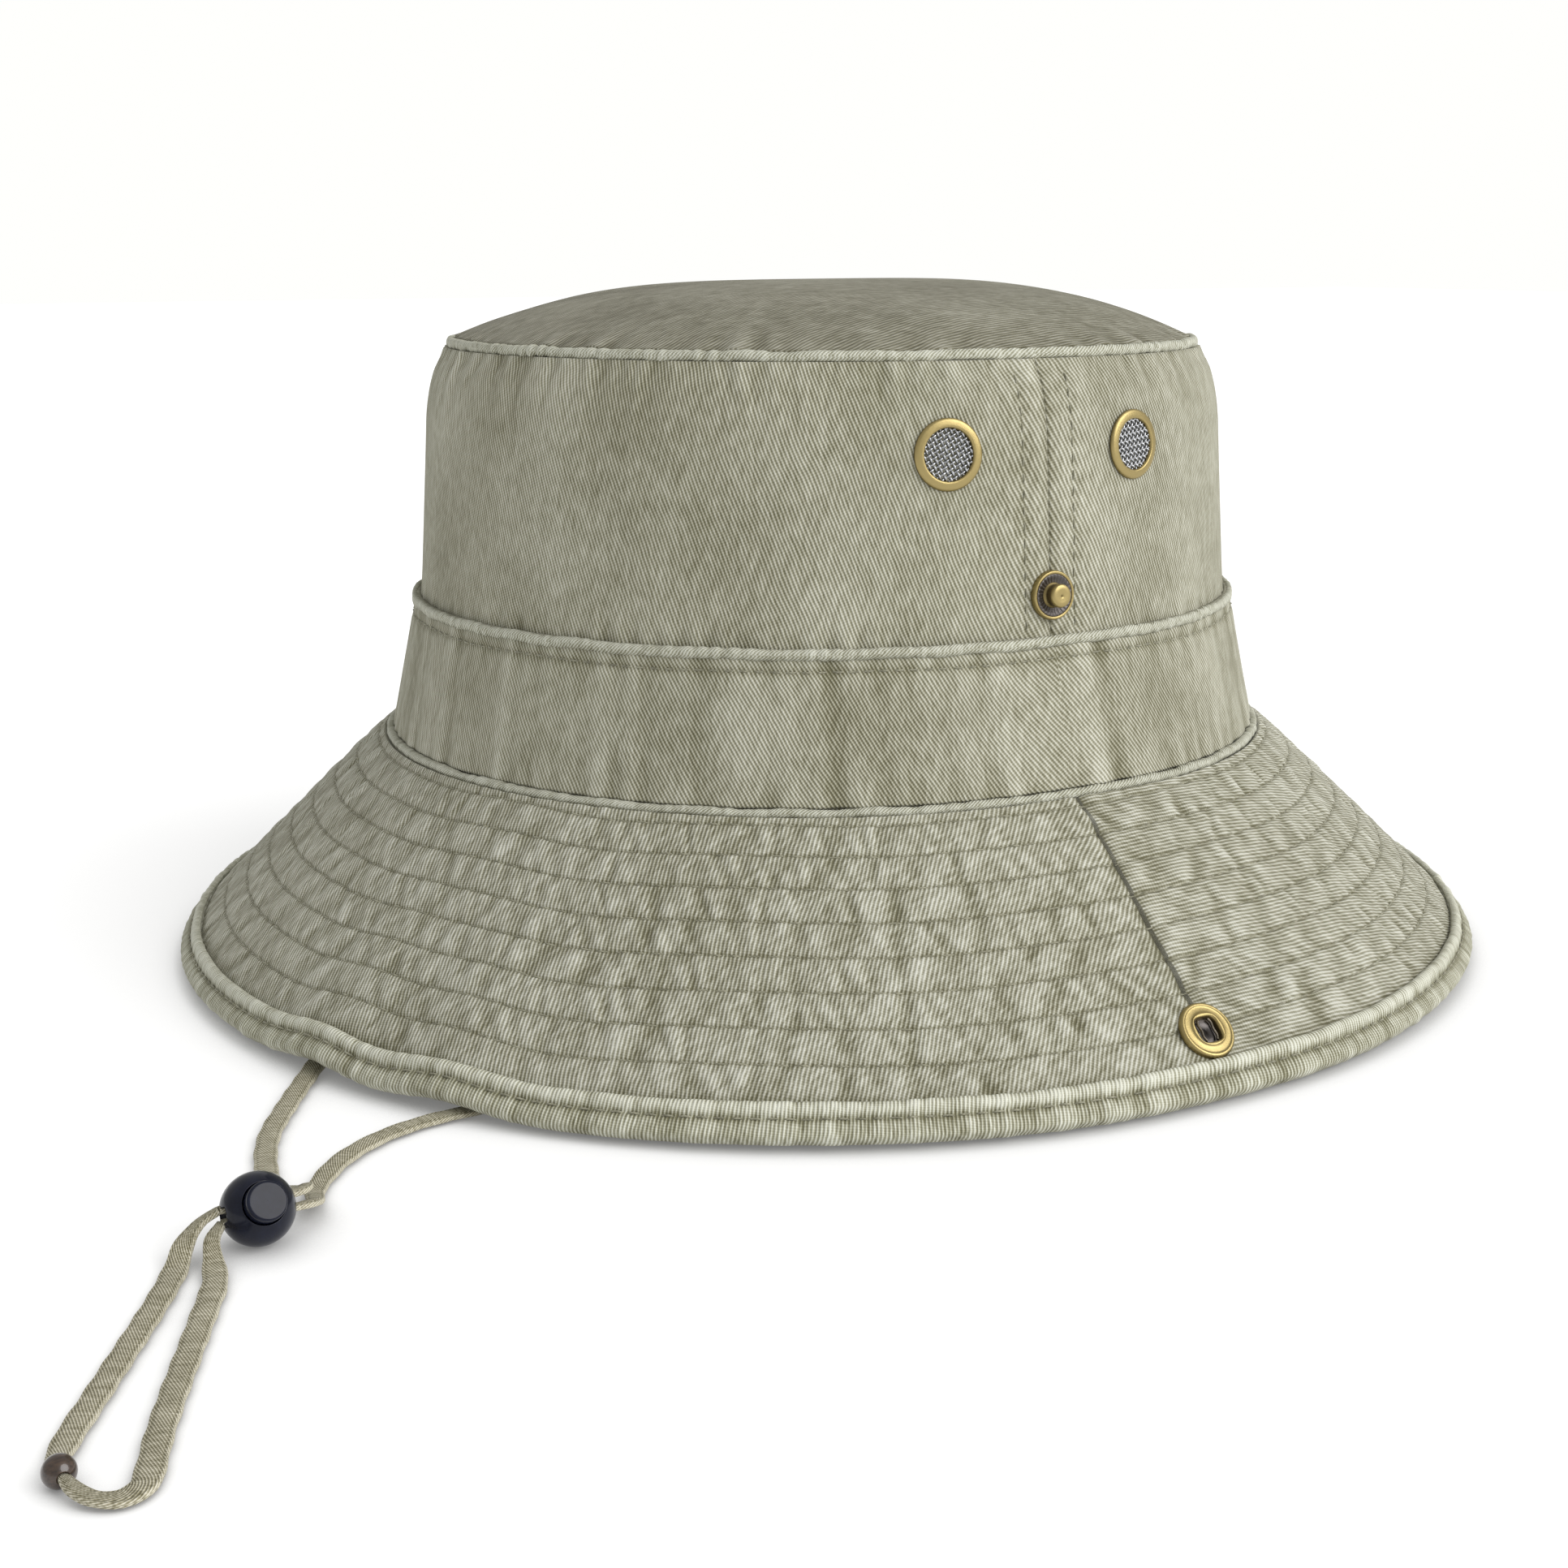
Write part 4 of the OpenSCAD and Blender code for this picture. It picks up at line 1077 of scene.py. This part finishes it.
def stitches(name, path, out, pitch, cover, radius, proud, closed=True):
    """Thread stitches along a path with outward normals: each one rises out of the cloth and dips back."""
    ends = np.vstack([path, path[:1]]) if closed else path
    outs = np.vstack([out, out[:1]]) if closed else out
    length = run_length(ends)
    count = int(length[-1] / pitch)
    rings, sides = 6, 6
    share = np.linspace(0, 1, rings)
    at = (np.arange(count)[:, None] + 0.5 * (1 - cover) + cover * share) * length[-1] / count
    place = np.stack([np.interp(at, length, ends[:, k]) for k in range(3)], -1)
    up = unit(np.stack([np.interp(at, length, outs[:, k]) for k in range(3)], -1))
    arch = np.sin(np.pi * share) ** 0.6
    place = place + up * ((arch * (proud + radius) - radius)[:, None])
    way = unit(np.gradient(place, axis=1))
    side = unit(np.cross(way, up))
    lift = np.cross(side, way)
    corner = np.linspace(0, TAU, sides + 1)[:-1]
    fat = radius * (0.55 + 0.45 * arch)[:, None]
    ring = (place[:, :, None] + side[:, :, None] * (fat * np.cos(corner))[None, ..., None]
            + lift[:, :, None] * (fat * np.sin(corner))[None, ..., None])
    each = rings * sides
    base = np.arange(count) * each
    every = (grid_faces(rings, sides, False)[None] + base[:, None, None]).reshape(-1, 4)
    caps = [range(b, b + sides) for b in base] + [range(b + each - 1, b + each - sides - 1, -1) for b in base]
    return fix_normals(new_object(name, ring, every, THREAD, caps=caps))


def surface_normals(make, theta, s):
    """Outward normals of a surface given by make(theta, s)."""
    step = 0.4 * MM
    a = make(theta + step / BASE_R, s) - make(theta - step / BASE_R, s)
    b = make(theta, s + step) - make(theta, s - step)
    return unit(np.cross(b, a))


def brim_top(theta, s):
    moved, _ = brim_displacement(theta, s)
    return brim_place(theta, s, BRIM_T / 2 + moved)


def join(objects, name):
    for o in bpy.context.selected_objects:
        o.select_set(False)
    for o in objects:
        o.select_set(True)
    bpy.context.view_layer.objects.active = objects[0]
    bpy.ops.object.join()
    objects[0].name = name
    objects[0].data.name = name
    return objects[0]


def brim_stitching(side):
    """The rows of stitches round one half of the brim, and the one that holds its binding."""
    theta = half_theta(side, 1500)
    rows = []
    for k, s in enumerate(ROW_S):
        level = s + row_wander(theta)
        path = brim_top(theta, level)
        out = surface_normals(brim_top, theta, level)
        out *= np.sign(out[:, 2:3] + 1e-9)
        rows.append(stitches(f"row_{k}", path, out, 3.6 * MM, 0.9, THREAD_R, 0.12 * MM, False))
    level = np.full(len(theta), BIND_S + 2.9 * MM)
    path = brim_place(theta, level, BRIM_T / 2 + 0.7 * MM + 0.12 * MM * ring_noise(theta, 50, 120, 102))
    out = unit(path * [1, 1, 0]) * BRIM_SIN
    out[:, 2] = BRIM_COS
    rows.append(stitches("row_edge", path, out, 3.1 * MM, 0.75, THREAD_R, 0.16 * MM, False))
    finish_brim(join(rows, f"brim_{SIDES[side]}_thread"), side)


def crown_stitching():
    """The row under the band's fold, and two rows beside each side seam."""
    theta = np.linspace(0, TAU, 2401)[:-1]
    z = BAND_TOP_Z - 3.6 * MM + 0.15 * MM * ring_noise(theta, 6, 20, 140)
    path = oval_points(theta, band_surface(theta, z)[0], z)
    rows = [stitches("row_band", path, unit(path * [1, 1, 0]), 3.0 * MM, 0.76, CROWN_THREAD_R, 0.16 * MM)]
    z = np.linspace(BAND_TOP_Z + 1.5 * MM, TOP_SEAM_Z - 3 * MM, 300)
    for middle in (0, math.pi):
        for gap in (-SIDE_ROW, SIDE_ROW):
            theta = middle + gap / (BASE_R + wall_off(z))
            path = oval_points(theta, wall_off(z) + side_displacement(theta, z), z)
            out = np.broadcast_to([math.cos(middle), 0, 0.1], path.shape)
            rows.append(stitches("row_side", path, out, 3.2 * MM, 0.72, CROWN_THREAD_R, 0.15 * MM, False))
    finish_piece(join(rows, "crown_thread"), "hat", "washed_twill")


# ---- Hardware ----
def outline_wear_and_shade(outline):
    """High parts of an outline are rubbed bright as wear; low parts stay dark, as patina and painted shade in the
    hollows.
    """
    h = outline[:, 1]
    return 0.25 + 0.75 * (h - h.min()) / max(h.max() - h.min(), 1e-6)


def lathe(name, profile, material, frame_at, segments=96, ripple=None, wear_and_shade=None):
    """Turns a closed (radius, height) outline round the axis of the frame given."""
    profile = np.asarray(profile, float)
    theta = np.linspace(0, TAU, segments + 1)[:-1]
    r = np.broadcast_to(profile[:, 0], (segments, len(profile))).copy()
    h = np.broadcast_to(profile[:, 1], r.shape).copy()
    if ripple:
        r, h = ripple(theta[:, None], r, h)
    points = np.stack([r * np.cos(theta)[:, None], r * np.sin(theta)[:, None], h], -1)
    # Painted shade with wear: the brass is drawn darker the lower a point sits in its outline.
    rub_and_shade = np.broadcast_to(outline_wear_and_shade(profile) if wear_and_shade is None else wear_and_shade, r.shape)
    obj = new_object(name, points, grid_faces(segments, len(profile), True), material, attrs={"wear_and_shade": rub_and_shade})
    return place(fix_normals(obj), frame_at)


def place(obj, at):
    obj.data.transform(at)
    obj.data.update()
    return obj


def axes(origin, normal):
    """A frame at origin with its Z along normal and its Y as near upright as can be."""
    z = unit(np.array(normal, float))
    hint = np.array([0, 0, 1.0]) if abs(z[2]) < 0.95 else np.array([0, 1.0, 0])
    x = unit(np.cross(hint, z))
    y = np.cross(z, x)
    m = Matrix(np.column_stack([x, y, z]).tolist()).to_4x4()
    m.translation = tuple(origin)
    return m


def rounded(points, steps=4, share=0.35):
    """Rounds the corners of a closed outline, except on its axis."""
    points = np.asarray(points, float)
    out = []
    for i in range(len(points)):
        a, b, c = points[i - 1], points[i], points[(i + 1) % len(points)]
        if b[0] < 0.4 * MM:
            out.append(b)
            continue
        p, q = b + (a - b) * share, b + (c - b) * share
        for t in np.linspace(0, 1, steps):
            out.append((1 - t) ** 2 * p + 2 * t * (1 - t) * b + t * t * q)
    return np.array(out)


def rod(points, radius, sides=8):
    """Mesh data of a round rod along points."""
    way = unit(np.gradient(points, axis=0))
    side = unit(np.cross(way, [0, 0, 1.0]) + 1e-9)
    up = np.cross(side, way)
    corner = np.linspace(0, TAU, sides + 1)[:-1]
    ring = (points[:, None] + radius * (side[:, None] * np.cos(corner)[None, :, None]
                                        + up[:, None] * np.sin(corner)[None, :, None]))
    n = len(points)
    caps = (range(sides), range(n * sides - 1, (n - 1) * sides - 1, -1))
    return ring.reshape(-1, 3), grid_faces(n, sides, False), caps


def rods(name, lines, radius, material, at):
    """Joins many rods into one object in the given frame."""
    verts, faces, caps, start = [], [], [], 0
    for points in lines:
        v, f, c = rod(points, radius)
        verts.append(v)
        faces.append(f + start)
        caps += [[i + start for i in cap] for cap in c]
        start += len(v)
    return place(fix_normals(new_object(name, np.vstack(verts), np.vstack(faces), material, caps=caps)), at)


VENT_RING_R = 7 * MM
VENT_MESH_R = 5.1 * MM
MESH_R = 0.22 * MM  # radius of the mesh's wires


def vent_frames():
    """Frames on the crown wall at the four vents, their Z outwards and a little up."""
    r = BASE_R + float(wall_off(VENT_Z))
    lean = math.radians(3.9)
    for side in (0, math.pi):
        for theta in (side - VENT_ANGLE, side + VENT_ANGLE):
            x, y = math.cos(theta), math.sin(theta)
            normal = np.array([x * math.cos(lean), y * math.cos(lean), math.sin(lean)])
            origin = np.array([r * x, r * y + math.copysign(OVAL, y), VENT_Z])
            yield axes(origin + 0.15 * MM * normal, normal)


def woven_wires(radius, pitch, wire):
    """Two sets of crimped wires woven over and under each other inside a circle."""
    lines = []
    count = int(radius / pitch)
    for axis in (0, 1):
        for k in range(-count, count + 1):
            offset = k * pitch
            half = math.sqrt(max(radius ** 2 - offset ** 2, 0))
            if half < pitch:
                continue
            t = np.linspace(-half, half, max(6, int(half * 2 / pitch * 5)))
            wave = wire * 0.9 * np.cos(t / pitch * math.pi + math.pi * (k + axis))
            across = np.full(len(t), offset)
            xy = (t, across) if axis == 0 else (across, t)
            lines.append(np.stack([*xy, wave], -1))
    return lines


def vents():
    inner, outer = VENT_MESH_R - 0.05 * MM, VENT_RING_R
    outline = rounded([(inner, -0.4 * MM), (inner, 0.3 * MM), (inner + 0.2 * MM, 0.62 * MM),
                       (inner + 0.6 * MM, 0.66 * MM), (outer - 0.4 * MM, 0.5 * MM), (outer, 0.15 * MM),
                       (outer, -0.4 * MM)])
    washer = rounded([(VENT_MESH_R, -1.05 * MM), (VENT_MESH_R, -1.5 * MM), (outer, -1.4 * MM),
                      (outer, -1.05 * MM)])
    rings, meshes, backs = [], [], []
    for k, at in enumerate(vent_frames()):
        rings.append(lathe(f"ring_{k}", outline, BRASS, at))
        backs.append(lathe(f"back_{k}", washer, BRASS, at, 64))
        turned_at = at @ Matrix.Translation((0, 0, -0.1 * MM)) @ Matrix.Rotation(0.5 + 0.4 * k, 4, "Z")
        wires = woven_wires(VENT_MESH_R, 0.9 * MM, MESH_R)
        meshes.append(rods(f"wire_{k}", wires, MESH_R, MESH_WIRE, turned_at))
    finish_piece(join(rings, "vent_ring_fronts"), "hat", "antique_brass", "vent_rings")
    finish_piece(join(backs, "vent_ring_backs"), "hat", "antique_brass", "vent_washers")
    finish_piece(join(meshes, "vent_wires"), "hat", "mesh_wire", "vent_meshes")


def studs():
    """The four-part snap's studs on the crown: brass rim, ribbed dark dish, and a post with a dimple."""
    rims, dishes, backs = [], [], []
    rim = rounded(mm([(4.15, 0), (4.2, 0.95), (4.75, 1), (4.95, 0.5), (4.9, -0.9), (4.2, -0.9)]))
    dish = rounded(mm([(0.3, -0.1), (0.3, 0.55), (2.3, 0.5), (3.2, 0.55), (4.2, 0.95), (4.25, 0.4),
                       (4.2, -0.1)]), 4, 0.25)
    post = rounded(mm([(0.1, 0.3), (0.1, 3.4), (0.8, 3.46), (1.6, 3.5), (2.25, 3.3), (2.4, 2.7), (2.05, 1.7),
                       (2.05, 0.9), (2.6, 0.5), (2.5, 0.3)]), 5, 0.4)
    back = rounded(mm([(0.2, 0), (0.2, 0.9), (3.6, 0.7), (4.8, 0)]))

    def ribs(theta, r, h):
        far = smooth(r, 2.4 * MM, 2.9 * MM) * (1 - smooth(r, 3.9 * MM, 4.2 * MM))
        return r, h + far * 0.16 * MM * np.abs(np.sin(theta * 14)) * (h > 0.2 * MM)

    foot = BASE_R + float(wall_off(STUD_Z)) + 0.35 * MM
    inner = node_box("stud_backs")[1][0] - 1.2 * MM
    for k, side in enumerate((1, -1)):
        at = axes((side * foot, 0, STUD_Z), (side, 0, 0.068))
        rims.append(lathe(f"rim_{k}", rim, BRASS, at))
        rims.append(lathe(f"post_{k}", post, BRASS, at))
        dishes.append(lathe(f"dish_{k}", dish, GUNMETAL, at, 168, ribs))
        flip = axes((side * inner, 0, STUD_Z), (-side, 0, 0))
        backs.append(lathe(f"stud_back_{k}", back, BRASS, flip, 72))
    finish_piece(join(rims, "stud_rims"), "hat", "antique_brass", "snap_studs")
    finish_piece(join(dishes, "stud_dishes"), "hat", "antique_brass")
    finish_piece(join(backs, "stud_back_caps"), "hat", "antique_brass", "stud_backs")


def socket_hole(theta, r, h):
    """Draws the innermost ring of the socket in to a rounded square opening."""
    square = (np.abs(np.cos(theta)) ** 4 + np.abs(np.sin(theta)) ** 4) ** -0.25
    near = 1 - smooth(r, 2.6 * MM, 3.7 * MM)
    return r * (1 + near * (square - 1) * 0.9), h


def sockets():
    """The snap's sockets through the brim: a rolled ring, a dark well with two springs, and a cap below."""
    outline = rounded(mm([(2.5, -0.2), (2.5, 0.9), (2.75, 1.45), (3.3, 1.5), (3.65, 1.15), (4.85, 1.05),
                          (5.1, 1.3), (5.55, 1.2), (5.85, 0.6), (5.8, -0.2)]), 5, 0.4)
    cap = rounded(mm([(0.15, 0), (0.15, 1.55), (3.6, 1.35), (5.2, 0.8), (5.85, 0.2), (5.7, -0.1)]), 5, 0.4)
    floor = rounded(mm([(0.1, -0.1), (0.1, 0.3), (2.9, 0.3), (2.9, -0.1)]))
    t = np.linspace(-1, 1, 40)
    bend = 1.15 + 0.75 * (1 - t ** 2) - 0.5 * (1 - t ** 2) ** 4
    springs = [mm(np.stack([side * bend, t * 2.2, 0.85 + 0 * t], -1)) for side in (-1, 1)]
    for name, side, theta in (("left", 1, 0.0), ("right", -1, math.pi)):
        body = f"{name}_flap"
        normal = np.array([side * BRIM_SIN, 0, BRIM_COS])
        top = brim_place(np.array(theta), np.array(SOCKET_S), BRIM_T / 2)
        at = axes(top + 0.1 * MM * normal, normal)
        low = axes(top - (BRIM_T + 0.1 * MM) * normal, -normal)
        ring = lathe(f"{name}_socket_ring", outline, BRASS, at, 96, socket_hole)
        finish_piece(ring, body, "antique_brass", f"{name}_snap_socket")
        well = lathe(f"{name}_socket_well", floor, GUNMETAL, at, 48, wear_and_shade=0.6)
        finish_piece(well, body, "antique_brass")
        spring = rods(f"{name}_s_spring", springs, 0.28 * MM, SPRING_WIRE, at)
        finish_piece(spring, body, "spring_wire", f"{name}_socket_spring")
        back = lathe(f"{name}_socket_back", cap, BRASS, low)
        finish_piece(back, body, "antique_brass", f"{name}_socket_cap")


LOCK_R = 6 * MM
LOCK_TILT = math.radians(58)
LOCK_FLOOR = 1.0 * MM  # floor of the button's well, over the ball's middle
BUTTON_LOW = 3.2 * MM
BUTTON_TOP = 6.95 * MM
COIL_KEPT = 0.25  # share of the coil's height that is left when the button is pressed


def lock_frame():
    return Matrix.Translation(tuple(LOCK_POS)) @ Matrix.Rotation(LOCK_TILT, 4, "Y")


def cut_slot(body, size):
    """Cuts a slot with round edges through the body."""
    work = bmesh.new()
    bmesh.ops.create_cube(work, size=1)
    bmesh.ops.scale(work, vec=size, verts=work.verts)
    bmesh.ops.bevel(work, geom=work.edges, offset=0.45 * MM, segments=4, affect="EDGES", profile=0.5)
    cutter = add_object("cutter", mesh_from(work, "cutter"))
    modifier = body.modifiers.new("slot", "BOOLEAN")
    modifier.operation = "DIFFERENCE"
    modifier.solver = "EXACT"
    modifier.object = cutter
    bpy.context.view_layer.objects.active = body
    bpy.ops.object.modifier_apply(modifier=modifier.name)
    bpy.data.objects.remove(cutter)
    body.data.polygons.foreach_set("use_smooth", np.ones(len(body.data.polygons), bool))


def cord_lock():
    """A ball with a button in its top and a slot through it for the doubled tape."""
    low = -5.9 * MM
    half = np.linspace(math.asin(low / LOCK_R), math.acos(3.62 * MM / LOCK_R), 60)
    outside = [(LOCK_R * math.cos(a), LOCK_R * math.sin(a)) for a in half]
    top = LOCK_R * math.sin(half[-1])
    inside = [(3.5 * MM, top + 0.02 * MM), (3.42 * MM, top - 0.25 * MM), (3.42 * MM, LOCK_FLOOR),
              (0.02 * MM, LOCK_FLOOR), (0.02 * MM, low)]
    body = lathe("lock_ball", outside + inside, PLASTIC, Matrix.Identity(4), 192)
    cut_slot(body, mm([2.4, 16, 4.4]))
    finish_piece(place(body, lock_frame()), "cord_lock", "lock_plastic", "cord_lock_body")
    r = 3.28 * MM
    cap = rounded([(0.02 * MM, BUTTON_LOW), (0.02 * MM, BUTTON_TOP), (0.06 * MM, BUTTON_TOP),
                   (0.12 * MM, BUTTON_TOP), (2.7 * MM, BUTTON_TOP), (r, BUTTON_TOP - 0.15 * MM),
                   (r, 4.2 * MM), (r, BUTTON_LOW)], 7, 0.3)
    button = lathe("lock_push_button", cap, PLASTIC, lock_frame(), 128)
    finish_piece(button, "lock_button", "lock_plastic", "cord_lock_button")
    turns = np.linspace(0, 3 * TAU, 90)
    rise = 1.1 + (turns / turns[-1]) * 2.1
    coil = mm(np.stack([2.4 * np.cos(turns), 2.4 * np.sin(turns), rise], -1))
    spring = rods("lock_coil", [coil], 0.2 * MM, SPRING_WIRE, lock_frame())
    finish_piece(spring, "cord_lock", "spring_wire", "cord_lock_spring")
    seat = lock_frame() @ Vector((0, 0, LOCK_FLOOR))
    up = lock_frame().col[2][:3]
    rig.squash(spring, "lock_button_press", axis=tuple(up), anchor=tuple(seat), keep=COIL_KEPT)
    return [body, button, spring]


def bead():
    """The wooden bead, its bore along the tape."""
    low, high = node_box("cord_bead")
    outline = [(2.3 * MM * math.cos(a), 2.25 * MM * math.sin(a)) for a in np.linspace(-1.2, 1.2, 34)]
    bore = [(0.95 * MM, 1.95 * MM), (0.85 * MM, 0), (0.95 * MM, -1.95 * MM)]
    heading = math.radians(3)
    at = axes((low + high) / 2, (math.cos(heading), math.sin(heading), 0))
    return finish_piece(lathe("wooden_bead", outline + bore, WOOD, at), "hat", "bead_wood", "cord_bead")


def anchor_tabs():
    """Folded tabs of tape that hold the cord's ends inside the sweatband."""
    low, high = node_box("cord_anchor_tabs")
    stations, corners = 24, 24
    half_w, half_t = 3.2 * MM, 0.9 * MM
    z = np.linspace(low[2] + 0.2 * MM, high[2] - 0.2 * MM, stations)[:, None]
    rim, lift = soft_section(corners, 0.4, 0.6)
    fold = 1 + 0.18 * np.sin(np.linspace(0, 3 * math.pi, stations))[:, None]
    uv = np.stack(grid(z[:, 0], np.linspace(0, 13 * MM, corners + 1)), -1)
    tabs = []
    for k, side in enumerate((1, -1)):
        x = side * (high[0] - half_t - 0.1 * MM) + half_t * lift * fold
        points = np.stack(np.broadcast_arrays(x, -1 * MM + half_w * rim, z), -1)
        obj = shell(f"anchor_tab_{k}", points, uv, TAPE_TWILL, False)
        tabs.append(finish_piece(obj, "hat", "cord_tape", *(["cord_anchor_tabs"] if k == 0 else [])))
    return tabs


# ---- Room ----
def add_sun(azimuth, elevation, strength, softness):
    """A soft distant light. The azimuth is measured as the camera's is, from -Y towards +X."""
    data = bpy.data.lights.new("key", "SUN")
    data.energy = strength
    data.angle = math.radians(softness)
    data.color = (1, 0.99, 0.985)
    add_object("key", data).rotation_euler = (math.radians(90 - elevation), 0, math.radians(azimuth))


def add_room():
    """A pale floor, darker where the hat shuts out the light, and a plain white sky. Most of its brightness is a glow,
    and the shade near the hat is a painted shadow in that glow, from an occlusion node.
    """
    s = Shader("floor", Roughness=0.9, Emission_Strength=0.7)
    # Painted shadow: the floor's glow is dimmed where the occlusion node finds the hat close by.
    contact_shadow_paint = s.node("ShaderNodeAmbientOcclusion", {"Distance": 90 * MM}, samples=6).outputs["AO"]
    s.set(Base_Color=s.ramp(s.noise(s.place(), 3, 2.0), (0, [0.39] * 3), (1, [0.41] * 3)),
          Emission_Color=s.ramp(contact_shadow_paint, (0.35, [0.2] * 3), (0.97, [1] * 3)))
    work = bmesh.new()
    bmesh.ops.create_grid(work, x_segments=2, y_segments=2, size=6)
    floor = add_object("floor", mesh_from(work, "floor"))
    floor.data.materials.append(s.mat)
    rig.stage(floor)
    world = bpy.data.worlds.new("room")
    world.use_nodes = True
    nodes, links = world.node_tree.nodes, world.node_tree.links
    seen = nodes.new("ShaderNodeLightPath").outputs["Is Camera Ray"]
    strength = nodes.new("ShaderNodeMapRange")
    strength.inputs["To Min"].default_value = 0.6
    strength.inputs["To Max"].default_value = 1.0
    links.new(seen, strength.inputs["Value"])
    links.new(strength.outputs[0], nodes["Background"].inputs["Strength"])
    nodes["Background"].inputs["Color"].default_value = (1, 1, 0.98, 1)
    bpy.context.scene.world = world
    add_sun(124, 34, 2.55, 50)
    bpy.context.scene.view_settings.view_transform = "Standard"


add_camera()
add_cords()
crown_side("crown_front", "crown_side_front", -math.pi)
crown_side("crown_rear", "crown_side_rear", 0)
crown_top()
for row in WELTS:
    piping(*row)
hat_band()
inner_ring("sweatband_cloth", "sweatband", FOOT_Z + 0.2 * MM, SWEAT_TOP_Z, SWEAT_T, 231)
inner_ring("seam_tape_cloth", "crown_seam_tape", *TAPE_SPAN, TAPE_T, 241)
side_tapes()
for side in (0, 1):
    brim_half(side)
    binding_half(side)
    brim_stitching(side)
crown_stitching()
vents()
studs()
sockets()
add_room()

json.dump({"cad": CAD_BOX, "visual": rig.bounds()}, open("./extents.json", "w"), default=list)
